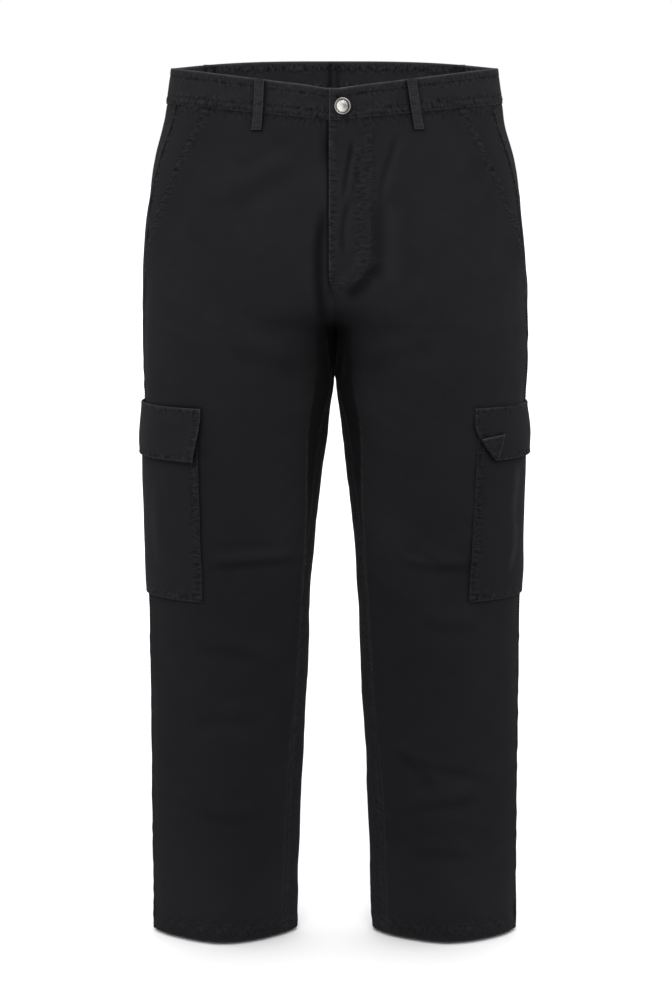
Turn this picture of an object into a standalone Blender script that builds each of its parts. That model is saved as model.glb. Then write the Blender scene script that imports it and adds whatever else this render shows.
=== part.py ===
"""Cargo pants as they hang when worn: thin cloth walls round an empty hollow, in metres, +Z up.

The origin is the centre of the waist, level with the waistband's top edge at the sides. The front
faces -Y and +X is the wearer's left. One form, given by a short table of sections, is the outside of
the cloth all over. Each panel is a closed wall whose outer points lie on that form, and the waistband,
pockets, flaps and belt loops are made from the form's points too, moved out onto the panels.
"""

import math

import bmesh
import bpy
import numpy as np

# Cloth
WALL = 0.0016  # a seamed twill panel
SEAM_GAP = 0.0003  # between pieces that are sewn together
LAP = 0.0021  # how far a piece is lifted where it lies on another one
HEM_WALL = 0.0030  # the turned-up hem, two layers thick
HEM_DEPTH = 0.022
SHARP_ANGLE = math.radians(40)  # a wall's edges are shaded sharp, and its folds soft

# Heights, all measured down from the waist
HEM = -1.042
CROTCH = -0.305
BAND_TOP = {"front": -0.024, "side": 0.0, "back": 0.010}
BAND_SEAM = {"front": -0.0595, "side": -0.041, "back": -0.031}
BACK_RISE_POWER = 3  # the band's edges climb to the back along this power of the distance
SEAM_DIP_FADES = -0.13  # below this the rows of points lie level
SIDE_SEAM_TURNS = -0.15  # above this the side seam leans forward

# Waistband: a doubled strip, proud of the panels, its left end buttoned over its right end
BAND_WALL = 0.0032
BAND_PROUD = 0.0010
BAND_DROP = 0.0019  # how far the covered end lies inside
BAND_OVER_REACH = -0.006  # the covering end, past the centre plane
BAND_UNDER_REACH = -0.030  # the covered end, past the same plane on its own side
BAND_STATIONS = 22  # along each half
BAND_UNDER_STATIONS = 3  # along the covered end, past the centre plane

# Fly: the left front covers the right front down to here
FLY_FOOT = -0.243
FLY_CLOSED = -0.252
FLY_OVER = -0.006  # the covering edge and the covered one, each past the centre plane
FLY_UNDER = -0.004
EDGE_STRIP = 0.008  # the first strip of a front, so that the lap keeps a straight edge
LAP_FULL = 0.010  # a lapped front is lifted fully as far as this from the centre plane
LAP_GONE = 0.036

# Slant pocket mouths and side seams, as angles round the body (0 at the side, -90 at the front)
MOUTH_STEPS = 7  # rows of points from the band seam down to the foot of the mouth
MOUTH_ANGLE = math.radians(-40)
MOUTH_BEND = 1.2
MOUTH_LAP_FULL = 0.014
MOUTH_LAP_GONE = 0.030
FACING_UNDER = 0.012  # how far the pocket facing runs in under the front
FACING_ACROSS = 4  # points from the mouth to the side seam
SIDE_SEAM = math.radians(-14)
SIDE_SEAM_TOP = math.radians(-22)
INSEAM_FORWARD = math.radians(28)  # the inseam lies this far to the front, once clear of the crotch
INSEAM_RUN = 0.12

# Panels: points across each, and steps down each stretch of the leg
ACROSS = 13
STRETCHES = (
    # foot of the stretch, steps
    (FLY_FOOT, MOUTH_STEPS + 1),
    (FLY_CLOSED, 1),
    (CROTCH, 3),
    (-0.371, 3),
    (-0.620, 9),
    (HEM + HEM_DEPTH, 12),
    (HEM, 1),
)

# Sections of the worn form. Outer and inner are the edges of one leg, measured from the centre plane.
# Above the crotch the inner edge is past that plane, and the two legs run into one.
# Roundness 2 is an ellipse. Less than 2 is a lens with its edges at the sides, and more is squarer.
FORM = (
    # height, outer,  inner,   front, back,  outer roundness, inner roundness
    (0.015, 0.1875, -0.1875, 0.088, 0.090, 2.00, 2.00),
    (-0.050, 0.1970, -0.1960, 0.091, 0.094, 2.00, 2.00),
    (-0.100, 0.2095, -0.1950, 0.097, 0.104, 2.00, 2.00),
    (-0.150, 0.2187, -0.1850, 0.102, 0.114, 2.00, 2.00),
    (-0.200, 0.2243, -0.1650, 0.104, 0.120, 2.00, 2.00),
    (-0.240, 0.2263, -0.1220, 0.103, 0.121, 2.00, 2.08),
    (-0.275, 0.2272, -0.0620, 0.101, 0.118, 2.00, 2.25),
    (-0.295, 0.2274, -0.0220, 0.100, 0.115, 2.00, 2.40),
    (-0.305, 0.2274, 0.0004, 0.099, 0.113, 2.00, 2.48),
    (-0.340, 0.2274, 0.0005, 0.097, 0.108, 2.00, 2.48),
    (-0.360, 0.2272, 0.0010, 0.095, 0.105, 1.97, 2.40),
    (-0.420, 0.2264, 0.0078, 0.090, 0.098, 1.90, 2.15),
    (-0.480, 0.2257, 0.0143, 0.085, 0.092, 1.85, 1.98),
    (-0.546, 0.2249, 0.0215, 0.080, 0.085, 1.80, 1.86),
    (-0.620, 0.2248, 0.0276, 0.076, 0.079, 1.75, 1.77),
    (-0.731, 0.2250, 0.0330, 0.071, 0.073, 1.68, 1.69),
    (-0.882, 0.2252, 0.0398, 0.066, 0.067, 1.60, 1.60),
    (-1.042, 0.2256, 0.0452, 0.062, 0.062, 1.52, 1.52),
)

# The largest folds, as soft troughs (depth below 0) and ridges. x is from the centre plane, tilt turns
# the fold's length from level, up and outwards, and reach and width are half sizes.
FOLDS = (
    # side,    face,    x,     z,      tilt, reach, width, depth
    ("right", "front", 0.018, -0.235, 96, 0.055, 0.012, -0.0050),
    ("left", "front", 0.030, -0.258, 70, 0.022, 0.016, -0.0060),
    ("right", "front", 0.085, -0.135, 146, 0.070, 0.018, -0.0030),
    ("left", "front", 0.058, -0.170, 80, 0.070, 0.014, -0.0030),
    ("right", "front", 0.075, -0.300, 28, 0.060, 0.018, -0.0035),
    ("left", "front", 0.080, -0.305, 24, 0.065, 0.018, -0.0035),
    ("right", "front", 0.105, -0.588, -4, 0.060, 0.016, -0.0040),
    ("right", "front", 0.115, -0.556, 6, 0.055, 0.018, 0.0025),
    ("left", "front", 0.120, -0.590, 6, 0.045, 0.015, -0.0040),
    ("left", "front", 0.110, -0.562, -8, 0.050, 0.015, 0.0022),
    ("left", "front", 0.125, -0.845, -10, 0.055, 0.018, -0.0035),
    ("left", "front", 0.105, -0.885, -38, 0.050, 0.018, 0.0030),
    ("left", "front", 0.130, -0.925, 8, 0.050, 0.018, -0.0030),
    ("right", "front", 0.120, -0.690, -8, 0.045, 0.018, -0.0022),
    ("left", "back", 0.085, -0.300, -22, 0.070, 0.020, -0.0045),
    ("right", "back", 0.080, -0.306, -26, 0.065, 0.020, -0.0045),
    ("left", "back", 0.110, -0.610, 8, 0.060, 0.018, -0.0045),
    ("right", "back", 0.115, -0.604, -6, 0.060, 0.018, -0.0045),
    ("left", "back", 0.125, -0.655, -12, 0.050, 0.018, -0.0030),
    ("right", "back", 0.120, -0.660, 12, 0.055, 0.018, -0.0030),
    ("left", "back", 0.130, -0.900, 10, 0.050, 0.018, -0.0028),
    ("right", "back", 0.130, -0.880, -10, 0.050, 0.018, -0.0028),
)
FOLD_SIDE_FADE = 0.030  # folds die out towards the side edges
FOLD_CENTRE_FADE = 0.012
CENTRE_TURN = 0.02  # above the crotch the outward direction turns into the centre plane over this

# Cargo pockets and their flaps, over the side seams. Front edges are measured from the centre plane.
POCKET_TOP = -0.412
POCKET_FOOT = -0.6195
POCKET_BACK_ANGLE = math.radians(48)
POCKET_PUFF = 0.0016
POCKET_TOP_PUFF = 0.25  # share of the puff at the top edge, under the flap
POCKET_FULL_BY = 0.25  # share of the pocket's height by which it is full
POCKET_ACROSS = 16
POCKET_DOWN = 8
FLAP_TOP = -0.388
FLAP_FOOT = -0.4505
FLAP_WALL = 0.0022
FLAP_STANDS_OFF = 0.0052
FLAP_OPENS_BY = 0.82  # share of the flap's height by which it stands off fully
FLAP_OPENS_POWER = 0.7  # under 1, it stands off soon below its seam
FLAP_WIDER = math.radians(2.5)
FLAP_DOWN = 6
POCKET_FRONT_EDGE = {"left": (0.167, 0.158), "right": (0.159, 0.155)}  # at the top, at the foot
TURNED_FLAP = "left"  # its lower front corner is turned up over its face
FOLD_STARTS = 0.35  # share of the flap's height above the fold
FOLD_CUT = 0.024
FOLD_BEND = 1.3
CORNER_TIP = (0.1915, -0.4195)  # where the turned corner ends: from the centre plane, and height
CORNER_FROM = 0.56  # the turned corner runs from this share of the flap's height
CORNER_TO = 0.985
CORNER_FOOT = 0.0026  # its width at the lower end
CORNER_INSET = 0.0006
CORNER_SPRING = 0.0030  # how far its tip springs off the flap
CORNER_DOWN, CORNER_ACROSS = 5, 4
SEWN_LIFT = 1.5 * SEAM_GAP  # a strap or flap at its sewn end, off the cloth below

# Belt loops: straps over the waistband
LOOP_WIDTH = 0.011
LOOP_WALL = 0.0018
LOOP_BOW = 0.0026
LOOP_BOW_POWER = 0.8  # under 1, the bow is flatter in the middle than an arch
LOOP_BELOW_SEAM = 0.019
LOOP_STATIONS = 9
LOOP_STEP = 0.006  # the strap comes down off the band over this
LOOP_PLACES = (
    # name,             side, angle at the top, angle at the foot
    ("belt_loop_front_left", 1, -63.0, -62.0),
    ("belt_loop_front_right", -1, -63.8, -64.6),
    ("belt_loop_back_left", 1, 38.0, 38.0),
    ("belt_loop_back_right", -1, 38.0, 38.0),
    ("belt_loop_centre_back", 1, 90.0, 90.0),
)

# Shank button
BUTTON_X = 0.0095
BUTTON_Z = -0.0435
BUTTON_STEPS = 32
BUTTON_PROFILE = (
    # radius, height above the waistband
    (0.0000, 0.0036),
    (0.0026, 0.0034),
    (0.0048, 0.0027),
    (0.0064, 0.0021),
    (0.0072, 0.0021),
    (0.0079, 0.0029),
    (0.0088, 0.0029),
    (0.0095, 0.0021),
    (0.0095, 0.0010),
    (0.0086, 0.0000),
    (0.0000, 0.0000),
)

SIGN = {"left": 1, "right": -1}


# ---------------------------------------------------------------- the worn form

def smooth(share):
    """0 to 1 with level ends, for a share from 0 to 1."""
    share = min(1.0, max(0.0, share))
    return share * share * (3 - 2 * share)


def slopes_of(heights, values):
    """A slope at each row that never lets the curve between rows overshoot them."""
    steps = np.diff(values) / np.diff(heights)
    slopes = np.zeros(len(values))
    slopes[0], slopes[-1] = steps[0], steps[-1]
    for i in range(1, len(values) - 1):
        if steps[i - 1] * steps[i] > 0:
            slopes[i] = 2 * steps[i - 1] * steps[i] / (steps[i - 1] + steps[i])
    return slopes


FORM_ROWS = np.array(FORM)
FORM_SLOPES = [slopes_of(FORM_ROWS[:, 0], FORM_ROWS[:, k]) for k in range(1, FORM_ROWS.shape[1])]


def form_at(z):
    """Centre, half width, front and back depth, outer and inner roundness of a leg's section."""
    heights = FORM_ROWS[:, 0]
    z = min(heights[0], max(heights[-1], z))
    i = min(len(heights) - 2, int(np.searchsorted(-heights, -z, side="right")) - 1)
    span = heights[i + 1] - heights[i]
    t = (z - heights[i]) / span
    rise = (1 + 2 * t) * (1 - t) ** 2
    values = []
    for k in range(1, FORM_ROWS.shape[1]):
        here, there = FORM_ROWS[i, k], FORM_ROWS[i + 1, k]
        slopes = FORM_SLOPES[k - 1]
        bend = span * (t * (1 - t) ** 2 * slopes[i] - t * t * (1 - t) * slopes[i + 1])
        values.append(rise * here + (1 - rise) * there + bend)
    outer, inner, *others = values
    return (outer + inner) / 2, (outer - inner) / 2, *others


def signed_power(value, power):
    return math.copysign(abs(value) ** power, value)


def form_point(z, angle):
    """A point of the left half's form. The angle is 0 at the side, negative to the front."""
    centre, half, front, back, outer_round, inner_round = form_at(z)
    power = 2 / (outer_round if math.cos(angle) > 0 else inner_round)
    x = centre + half * signed_power(math.cos(angle), power)
    y = signed_power(math.sin(angle), power) * (front if math.sin(angle) < 0 else back)
    return np.array([x, y, z])


def front_depth(z, x):
    """How far the front of the form stands forward at a distance from the centre plane."""
    centre, half, front, _, outer_round, inner_round = form_at(z)
    share = min(1.0, abs((abs(x) - centre) / half))
    roundness = outer_round if abs(x) > centre else inner_round
    return front * (1 - share**roundness) ** (1 / roundness)


def normal_at(z, angle):
    """The form's outward direction. At the centre plane, above the crotch, it stays in that plane."""
    round_step, down_step = 0.06, 0.004
    along = form_point(z, angle + round_step) - form_point(z, angle - round_step)
    down = form_point(z - down_step, angle) - form_point(z + down_step, angle)
    out = np.cross(down, along)
    x = form_point(z, angle)[0]
    if z > CROTCH:
        out[0] *= smooth(x / CENTRE_TURN)
    return out / np.linalg.norm(out)


def fold_at(side, point):
    """How far the folds move the cloth out at a point of the left half."""
    x, y, z = point
    face = "front" if y < 0 else "back"
    moved = 0.0
    for fold_side, fold_face, fold_x, fold_z, tilt, reach, width, depth in FOLDS:
        if fold_side == side and fold_face == face:
            turn = math.radians(tilt)
            dx, dz = x - fold_x, z - fold_z
            along = (dx * math.cos(turn) + dz * math.sin(turn)) / reach
            across = (dz * math.cos(turn) - dx * math.sin(turn)) / width
            moved += depth * math.exp(-along * along - across * across)
    return moved * smooth(abs(y) / FOLD_SIDE_FADE) * smooth(x / FOLD_CENTRE_FADE)


def spot(side, z, angle):
    """A point of the folded form and its outward direction, on the left half."""
    base = form_point(z, angle)
    base[0] = max(base[0], SEAM_GAP / 2)
    normal = normal_at(z, angle)
    return base + normal * fold_at(side, base), normal


def front_spot(z, x):
    """The same near the centre front, at a distance from the centre plane that may be past it."""
    return np.array([x, -front_depth(z, x), z]), np.array([0.0, -1.0, 0.0])


# ---------------------------------------------------------------- seam lines

def edge_height(edge, x, y, outer):
    """A height that runs straight down to the centre front and curves up to the centre back."""
    share = min(1.0, abs(x) / outer)
    if y < 0:
        return edge["front"] + (edge["side"] - edge["front"]) * share
    return edge["back"] + (edge["side"] - edge["back"]) * share**BACK_RISE_POWER


def levels():
    """Heights of a panel's rows, as they are at the side."""
    rows = [BAND_SEAM["side"]]
    for foot, steps in STRETCHES:
        rows += list(np.linspace(rows[-1], foot, steps + 1)[1:])
    return rows


LEVELS = levels()
MOUTH_FOOT = LEVELS[MOUTH_STEPS]


def gap_angle(z, angle):
    """Half a seam's gap as an angle."""
    step = 0.02
    ahead, behind = form_point(z, angle + step), form_point(z, angle - step)
    return SEAM_GAP * step / np.linalg.norm(ahead - behind)


def centre_angle(z):
    """The angle at which the form meets the centre plane, less half a gap, above the crotch."""
    centre, half, *_, inner_round = form_at(z)
    share = min(1.0, max(0.0, (centre - SEAM_GAP / 2) / half))
    return math.acos(-(share ** (inner_round / 2)))


def inseam_turn(z):
    return INSEAM_FORWARD * smooth((CROTCH - z) / INSEAM_RUN)


def front_start(z):
    if z > CROTCH:
        return -centre_angle(z)
    angle = -math.pi + inseam_turn(z)
    return angle + gap_angle(z, angle)


def back_end(z):
    if z > CROTCH:
        return centre_angle(z)
    angle = math.pi + inseam_turn(z)
    return angle - gap_angle(z, angle)


def side_seam(z):
    share = (z - SIDE_SEAM_TURNS) / (BAND_SEAM["side"] - SIDE_SEAM_TURNS)
    return SIDE_SEAM + (SIDE_SEAM_TOP - SIDE_SEAM) * smooth(share)


def mouth_edge(z):
    """The slant pocket's edge, down to where it meets the side seam."""
    share = (BAND_SEAM["side"] - z) / (BAND_SEAM["side"] - MOUTH_FOOT)
    share = min(1.0, max(0.0, share)) ** MOUTH_BEND
    return MOUTH_ANGLE + (side_seam(MOUTH_FOOT) - MOUTH_ANGLE) * share


def front_end(z):
    angle = mouth_edge(z) if z > MOUTH_FOOT else side_seam(z)
    return angle - gap_angle(z, angle)


def arc_table(z, start, end, samples=96):
    """Angles from start to end, and the length of cloth up to each."""
    angles = np.linspace(start, end, samples)
    points = np.array([form_point(z, angle) for angle in angles])
    lengths = np.linalg.norm(np.diff(points, axis=0), axis=1)
    return angles, np.concatenate([[0.0], np.cumsum(lengths)])


def lift_of(distance, full, gone):
    return 1 - smooth((distance - full) / (gone - full))


def row_height(level, point, outer):
    """A row's own height at a point: the top row follows the band seam, and lower rows lie level."""
    fade = smooth((level - SEAM_DIP_FADES) / (BAND_SEAM["side"] - SEAM_DIP_FADES))
    dip = edge_height(BAND_SEAM, point[0], point[1], outer) - BAND_SEAM["side"]
    gap = 2 * SEAM_GAP if level == BAND_SEAM["side"] else 0.0
    return level + dip * fade - gap


# ---------------------------------------------------------------- walls

def material(name, colour, roughness, metallic=0.0):
    made = bpy.data.materials.new(name)
    made.use_nodes = True
    shader = made.node_tree.nodes["Principled BSDF"]
    shader.inputs["Base Color"].default_value = (*colour, 1)
    shader.inputs["Roughness"].default_value = roughness
    shader.inputs["Metallic"].default_value = metallic
    return made


def add_object(name, mesh, surface, collection):
    made = bpy.data.objects.new(name, mesh)
    mesh.materials.append(surface)
    collection.objects.link(made)
    return made


def wall(name, outside, inside, surface, collection):
    """A closed wall between two grids of points that match, with rims along their four edges."""
    rows, columns = len(outside), len(outside[0])
    form = bmesh.new()
    faces_out = [[form.verts.new(p) for p in row] for row in outside]
    faces_in = [[form.verts.new(p) for p in row] for row in inside]
    for i in range(rows - 1):
        for j in range(columns - 1):
            for grid in (faces_out, faces_in):
                form.faces.new((grid[i][j], grid[i + 1][j], grid[i + 1][j + 1], grid[i][j + 1]))
    border = [(0, j) for j in range(columns)] + [(i, columns - 1) for i in range(1, rows)]
    border += [(rows - 1, j) for j in range(columns - 2, -1, -1)]
    border += [(i, 0) for i in range(rows - 2, 0, -1)]
    for here, there in zip(border, border[1:] + border[:1]):
        a, b = faces_out[here[0]][here[1]], faces_out[there[0]][there[1]]
        c, d = faces_in[there[0]][there[1]], faces_in[here[0]][here[1]]
        form.faces.new((a, b, c, d))
    bmesh.ops.triangulate(form, faces=form.faces, quad_method="SHORT_EDGE")
    bmesh.ops.recalc_face_normals(form, faces=form.faces)
    mesh = bpy.data.meshes.new(name)
    form.to_mesh(mesh)
    form.free()
    mesh.shade_smooth()
    mesh.set_sharp_from_angle(angle=SHARP_ANGLE)
    return add_object(name, mesh, surface, collection)


def mirrored(point, sign):
    return (point[0] * sign, point[1], point[2])


def wall_from_spots(name, spots, lifts, walls, sign, surface, collection):
    """A wall whose outside is each spot moved out by its lift, and its inside that less its wall."""
    outside, inside = [], []
    for spot_row, lift_row, wall_row in zip(spots, lifts, walls):
        out_row, in_row = [], []
        for (point, normal), lift, thick in zip(spot_row, lift_row, wall_row):
            out_row.append(mirrored(point + normal * lift, sign))
            in_row.append(mirrored(point + normal * (lift - thick), sign))
        outside.append(out_row)
        inside.append(in_row)
    return wall(name, outside, inside, surface, collection)


# ---------------------------------------------------------------- leg panels

def front_panel(side, surface, collection):
    """From the fly or inseam round to the pocket mouth or side seam."""
    covers = side == "left"
    spots, lifts, walls = [], [], []
    for level in LEVELS:
        angles, lengths = arc_table(level, front_start(level), front_end(level))
        whole = lengths[-1]
        last = [whole - MOUTH_LAP_GONE, whole - MOUTH_LAP_FULL, whole]
        places = [0.0] + list(np.linspace(EDGE_STRIP, last[0], ACROSS - 3)) + last[1:]
        outer = sum(form_at(level)[:2])
        spot_row, lift_row = [], []
        for place in places:
            angle = float(np.interp(place, lengths, angles))
            height = row_height(level, form_point(level, angle), outer)
            point, normal = spot(side, height, angle)
            lift = 0.0
            if level >= FLY_FOOT and place == 0.0:
                point, normal = front_spot(height, FLY_OVER if covers else FLY_UNDER)
            if covers and level >= FLY_CLOSED:
                lift = LAP * lift_of(point[0], LAP_FULL, LAP_GONE)
            if level >= MOUTH_FOOT:
                lift = max(lift, LAP * lift_of(whole - place, MOUTH_LAP_FULL, MOUTH_LAP_GONE))
            spot_row.append((point, normal))
            lift_row.append(lift)
        spots.append(spot_row)
        lifts.append(lift_row)
        walls.append([HEM_WALL if level <= HEM + HEM_DEPTH else WALL] * len(places))
    wall_from_spots(f"{side}_front", spots, lifts, walls, SIGN[side], surface, collection)


def back_panel(side, surface, collection):
    """From the side seam round to the centre back or inseam."""
    spots, lifts, walls = [], [], []
    for level in LEVELS:
        seam = side_seam(level)
        start = seam + gap_angle(level, seam)
        angles, lengths = arc_table(level, start, back_end(level))
        outer = sum(form_at(level)[:2])
        spot_row = []
        for place in np.linspace(0.0, lengths[-1], ACROSS):
            angle = float(np.interp(place, lengths, angles))
            height = row_height(level, form_point(level, angle), outer)
            spot_row.append(spot(side, height, angle))
        spots.append(spot_row)
        lifts.append([0.0] * ACROSS)
        walls.append([HEM_WALL if level <= HEM + HEM_DEPTH else WALL] * ACROSS)
    wall_from_spots(f"{side}_back", spots, lifts, walls, SIGN[side], surface, collection)


def pocket_facing(side, surface, collection):
    """The piece that shows between the slant mouth and the side seam."""
    spots, lifts, walls = [], [], []
    for level in LEVELS[: MOUTH_STEPS + 1]:
        seam = side_seam(level)
        end = seam - gap_angle(level, seam)
        angles, lengths = arc_table(level, front_start(level), end)
        mouth = float(np.interp(front_end(level), angles, lengths))
        places = [mouth - FACING_UNDER] + list(np.linspace(mouth, lengths[-1], FACING_ACROSS))
        if level == MOUTH_FOOT:
            places = list(np.linspace(mouth - FACING_UNDER, lengths[-1], FACING_ACROSS + 1))
        outer = sum(form_at(level)[:2])
        spot_row = []
        for place in places:
            angle = float(np.interp(place, lengths, angles))
            height = row_height(level, form_point(level, angle), outer)
            spot_row.append(spot(side, height, angle))
        spots.append(spot_row)
        lifts.append([0.0] * len(places))
        walls.append([WALL] * len(places))
    wall_from_spots(f"{side}_pocket_facing", spots, lifts, walls, SIGN[side], surface, collection)


# ---------------------------------------------------------------- waistband and belt loops

def band_spot(angle_or_reach, sign, top_share, by_reach):
    """A point of the form between the band seam and the band's top edge."""
    guess = BAND_SEAM["side"]
    outer = sum(form_at(guess)[:2])
    if by_reach:
        x, y = angle_or_reach, -1.0
    else:
        x, y, _ = form_point(guess, angle_or_reach)
    low = edge_height(BAND_SEAM, x, y, outer)
    high = edge_height(BAND_TOP, x, y, outer)
    z = low + (high - low) * top_share
    if by_reach:
        point, normal = front_spot(z, x)
    else:
        point, normal = form_point(z, angle_or_reach), normal_at(z, angle_or_reach)
    return np.array(mirrored(point, sign)), np.array(mirrored(normal, sign))


def waistband(surface, collection):
    """One strip from the covering left end, round the back, to the covered right end."""
    quarter = math.pi / 2
    half_round = np.linspace(-quarter, quarter, BAND_STATIONS + 1)
    stations = [(BAND_OVER_REACH, 1, True)]
    stations += [(angle, 1, False) for angle in half_round]
    stations += [(angle, -1, False) for angle in half_round[-2::-1]]
    under = np.linspace(0, BAND_UNDER_REACH, BAND_UNDER_STATIONS + 1)[1:]
    stations += [(reach, -1, True) for reach in under]
    spots, lifts, walls = [], [], []
    for top_share in (1.0, 0.5, 0.0):
        spot_row, lift_row = [], []
        for place, sign, by_reach in stations:
            point, normal = band_spot(place, sign, top_share, by_reach)
            own_side = point[0] * sign
            lift = BAND_PROUD
            if point[1] < 0:
                shift = LAP if sign > 0 else -BAND_DROP
                lift += shift * lift_of(own_side, LAP_FULL, LAP_GONE)
            spot_row.append((point, normal))
            lift_row.append(lift)
        spots.append(spot_row)
        lifts.append(lift_row)
        walls.append([BAND_WALL] * len(stations))
    wall_from_spots("waistband", spots, lifts, walls, 1, surface, collection)


def belt_loop(name, sign, top_angle, foot_angle, surface, collection):
    """A strap sewn down at the band's top edge and below its seam, and bowed off between."""
    outside, inside = [], []
    for i in range(LOOP_STATIONS):
        share = i / (LOOP_STATIONS - 1)
        angle = math.radians(top_angle + (foot_angle - top_angle) * share)
        top = band_spot(angle, 1, 1.0, False)[0][2]
        seam = band_spot(angle, 1, 0.0, False)[0][2]
        z = top + (seam - LOOP_BELOW_SEAM - top) * share
        centre, normal = form_point(z, angle), normal_at(z, angle)
        across = np.cross(normal, (0.0, 0.0, 1.0))
        across *= LOOP_WIDTH / 2 / np.linalg.norm(across)
        beside = BAND_PROUD * smooth((z - seam + LOOP_STEP) / LOOP_STEP)
        seat = beside + SEWN_LIFT + LOOP_BOW * math.sin(math.pi * share) ** LOOP_BOW_POWER
        low, high = centre + normal * seat, centre + normal * (seat + LOOP_WALL)
        outside.append([mirrored(high - across, sign), mirrored(high + across, sign)])
        inside.append([mirrored(low - across, sign), mirrored(low + across, sign)])
    wall(name, outside, inside, surface, collection)


# ---------------------------------------------------------------- cargo pockets and flaps

def angle_at_x(z, x):
    """The angle on the outer half of the front, at a distance from the centre plane."""
    centre, half, _, _, outer_round, _ = form_at(z)
    return -math.acos(((x - centre) / half) ** (outer_round / 2))


def pocket_front_angle(side, z):
    top_x, foot_x = POCKET_FRONT_EDGE[side]
    share = (FLAP_TOP - z) / (FLAP_TOP - POCKET_FOOT)
    return angle_at_x(z, top_x + (foot_x - top_x) * share)


def cargo_pocket(side, surface, collection):
    """A patch sewn down round three sides, a little full in the middle and at its top edge."""
    spots, lifts, walls = [], [], []
    for i in range(POCKET_DOWN + 1):
        down = i / POCKET_DOWN
        z = POCKET_TOP + (POCKET_FOOT - POCKET_TOP) * down
        angles = np.linspace(pocket_front_angle(side, z), POCKET_BACK_ANGLE, POCKET_ACROSS + 1)
        fuller = POCKET_TOP_PUFF + (1 - POCKET_TOP_PUFF) * smooth(down / POCKET_FULL_BY)
        puff_down = fuller * math.sqrt(1 - down**3)
        spot_row, lift_row = [], []
        for j, angle in enumerate(angles):
            puff_across = math.sqrt(math.sin(math.pi * j / POCKET_ACROSS))
            spot_row.append(spot(side, z, float(angle)))
            lift_row.append(LAP + POCKET_PUFF * puff_down * puff_across)
        spots.append(spot_row)
        lifts.append(lift_row)
        walls.append([WALL] * len(spot_row))
    wall_from_spots(f"{side}_cargo_pocket", spots, lifts, walls, SIGN[side], surface, collection)


def flap_front_angle(side, z):
    """The flap's front edge, cut back along the fold where its corner is turned up."""
    angle = pocket_front_angle(side, z) - FLAP_WIDER
    folded = (FLAP_TOP - z) / (FLAP_TOP - FLAP_FOOT) - FOLD_STARTS
    if side == TURNED_FLAP and folded > 0:
        cut = FOLD_CUT * (folded / (1 - FOLD_STARTS)) ** FOLD_BEND
        angle = angle_at_x(z, form_point(z, angle)[0] + cut)
    return angle


def flap_lift(z):
    down = (FLAP_TOP - z) / (FLAP_TOP - FLAP_FOOT)
    return SEWN_LIFT + FLAP_WALL + FLAP_STANDS_OFF * smooth(down / FLAP_OPENS_BY) ** FLAP_OPENS_POWER


def cargo_flap(side, surface, collection):
    """Sewn down along its top edge and standing off below, over the pocket."""
    spots, lifts, walls = [], [], []
    for z in np.linspace(FLAP_TOP, FLAP_FOOT, FLAP_DOWN + 1):
        back = POCKET_BACK_ANGLE + FLAP_WIDER
        angles = np.linspace(flap_front_angle(side, z), back, POCKET_ACROSS + 1)
        spot_row = [spot(side, z, float(angle)) for angle in angles]
        spots.append(spot_row)
        lifts.append([flap_lift(z)] * len(spot_row))
        walls.append([FLAP_WALL] * len(spot_row))
    wall_from_spots(f"{side}_cargo_flap", spots, lifts, walls, SIGN[side], surface, collection)


def turned_corner(side, surface, collection):
    """The flap's lower corner, folded up over its face, with its tip a little off it."""
    spots, lifts = [], []
    for down in np.linspace(0, 1, CORNER_DOWN + 1):
        share = CORNER_FROM + (CORNER_TO - CORNER_FROM) * down
        fold_z = FLAP_TOP + (FLAP_FOOT - FLAP_TOP) * share
        fold_x = form_point(fold_z, flap_front_angle(side, fold_z))[0] + CORNER_INSET
        foot_z = FLAP_TOP + (FLAP_FOOT - FLAP_TOP) * CORNER_TO
        foot_x = form_point(foot_z, flap_front_angle(side, foot_z))[0] + CORNER_FOOT
        end_x = CORNER_TIP[0] + (foot_x - CORNER_TIP[0]) * down
        end_z = CORNER_TIP[1] + (foot_z - CORNER_TIP[1]) * down
        spot_row, lift_row = [], []
        for across in np.linspace(0, 1, CORNER_ACROSS + 1):
            z = fold_z + (end_z - fold_z) * across
            spot_row.append(spot(side, z, angle_at_x(z, fold_x + (end_x - fold_x) * across)))
            spring = CORNER_SPRING * (1 - down) * across**2
            lift_row.append(flap_lift(z) + SEAM_GAP + FLAP_WALL + spring)
        spots.append(spot_row)
        lifts.append(lift_row)
    walls = [[FLAP_WALL] * (CORNER_ACROSS + 1)] * (CORNER_DOWN + 1)
    wall_from_spots(f"{side}_flap_corner", spots, lifts, walls, SIGN[side], surface, collection)


# ---------------------------------------------------------------- button

def button(surface, collection):
    """A turned metal button, its flat back just off the waistband."""
    mesh = bpy.data.meshes.new("button")
    form = bmesh.new()
    points = [form.verts.new((radius, 0, height)) for radius, height in BUTTON_PROFILE]
    for here, there in zip(points, points[1:]):
        form.edges.new((here, there))
    form.to_mesh(mesh)
    form.free()
    made = add_object("button", mesh, surface, collection)
    turn = made.modifiers.new("turn", "SCREW")
    turn.steps = turn.render_steps = BUTTON_STEPS
    turn.use_merge_vertices = True
    turn.merge_threshold = 1e-5
    turn.use_smooth_shade = True
    face = front_depth(BUTTON_Z, BUTTON_X) + BAND_PROUD + LAP
    made.location = (BUTTON_X, -face - 2 * SEAM_GAP, BUTTON_Z)
    made.rotation_euler = (math.pi / 2, 0, 0)


# ---------------------------------------------------------------- the garment

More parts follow.
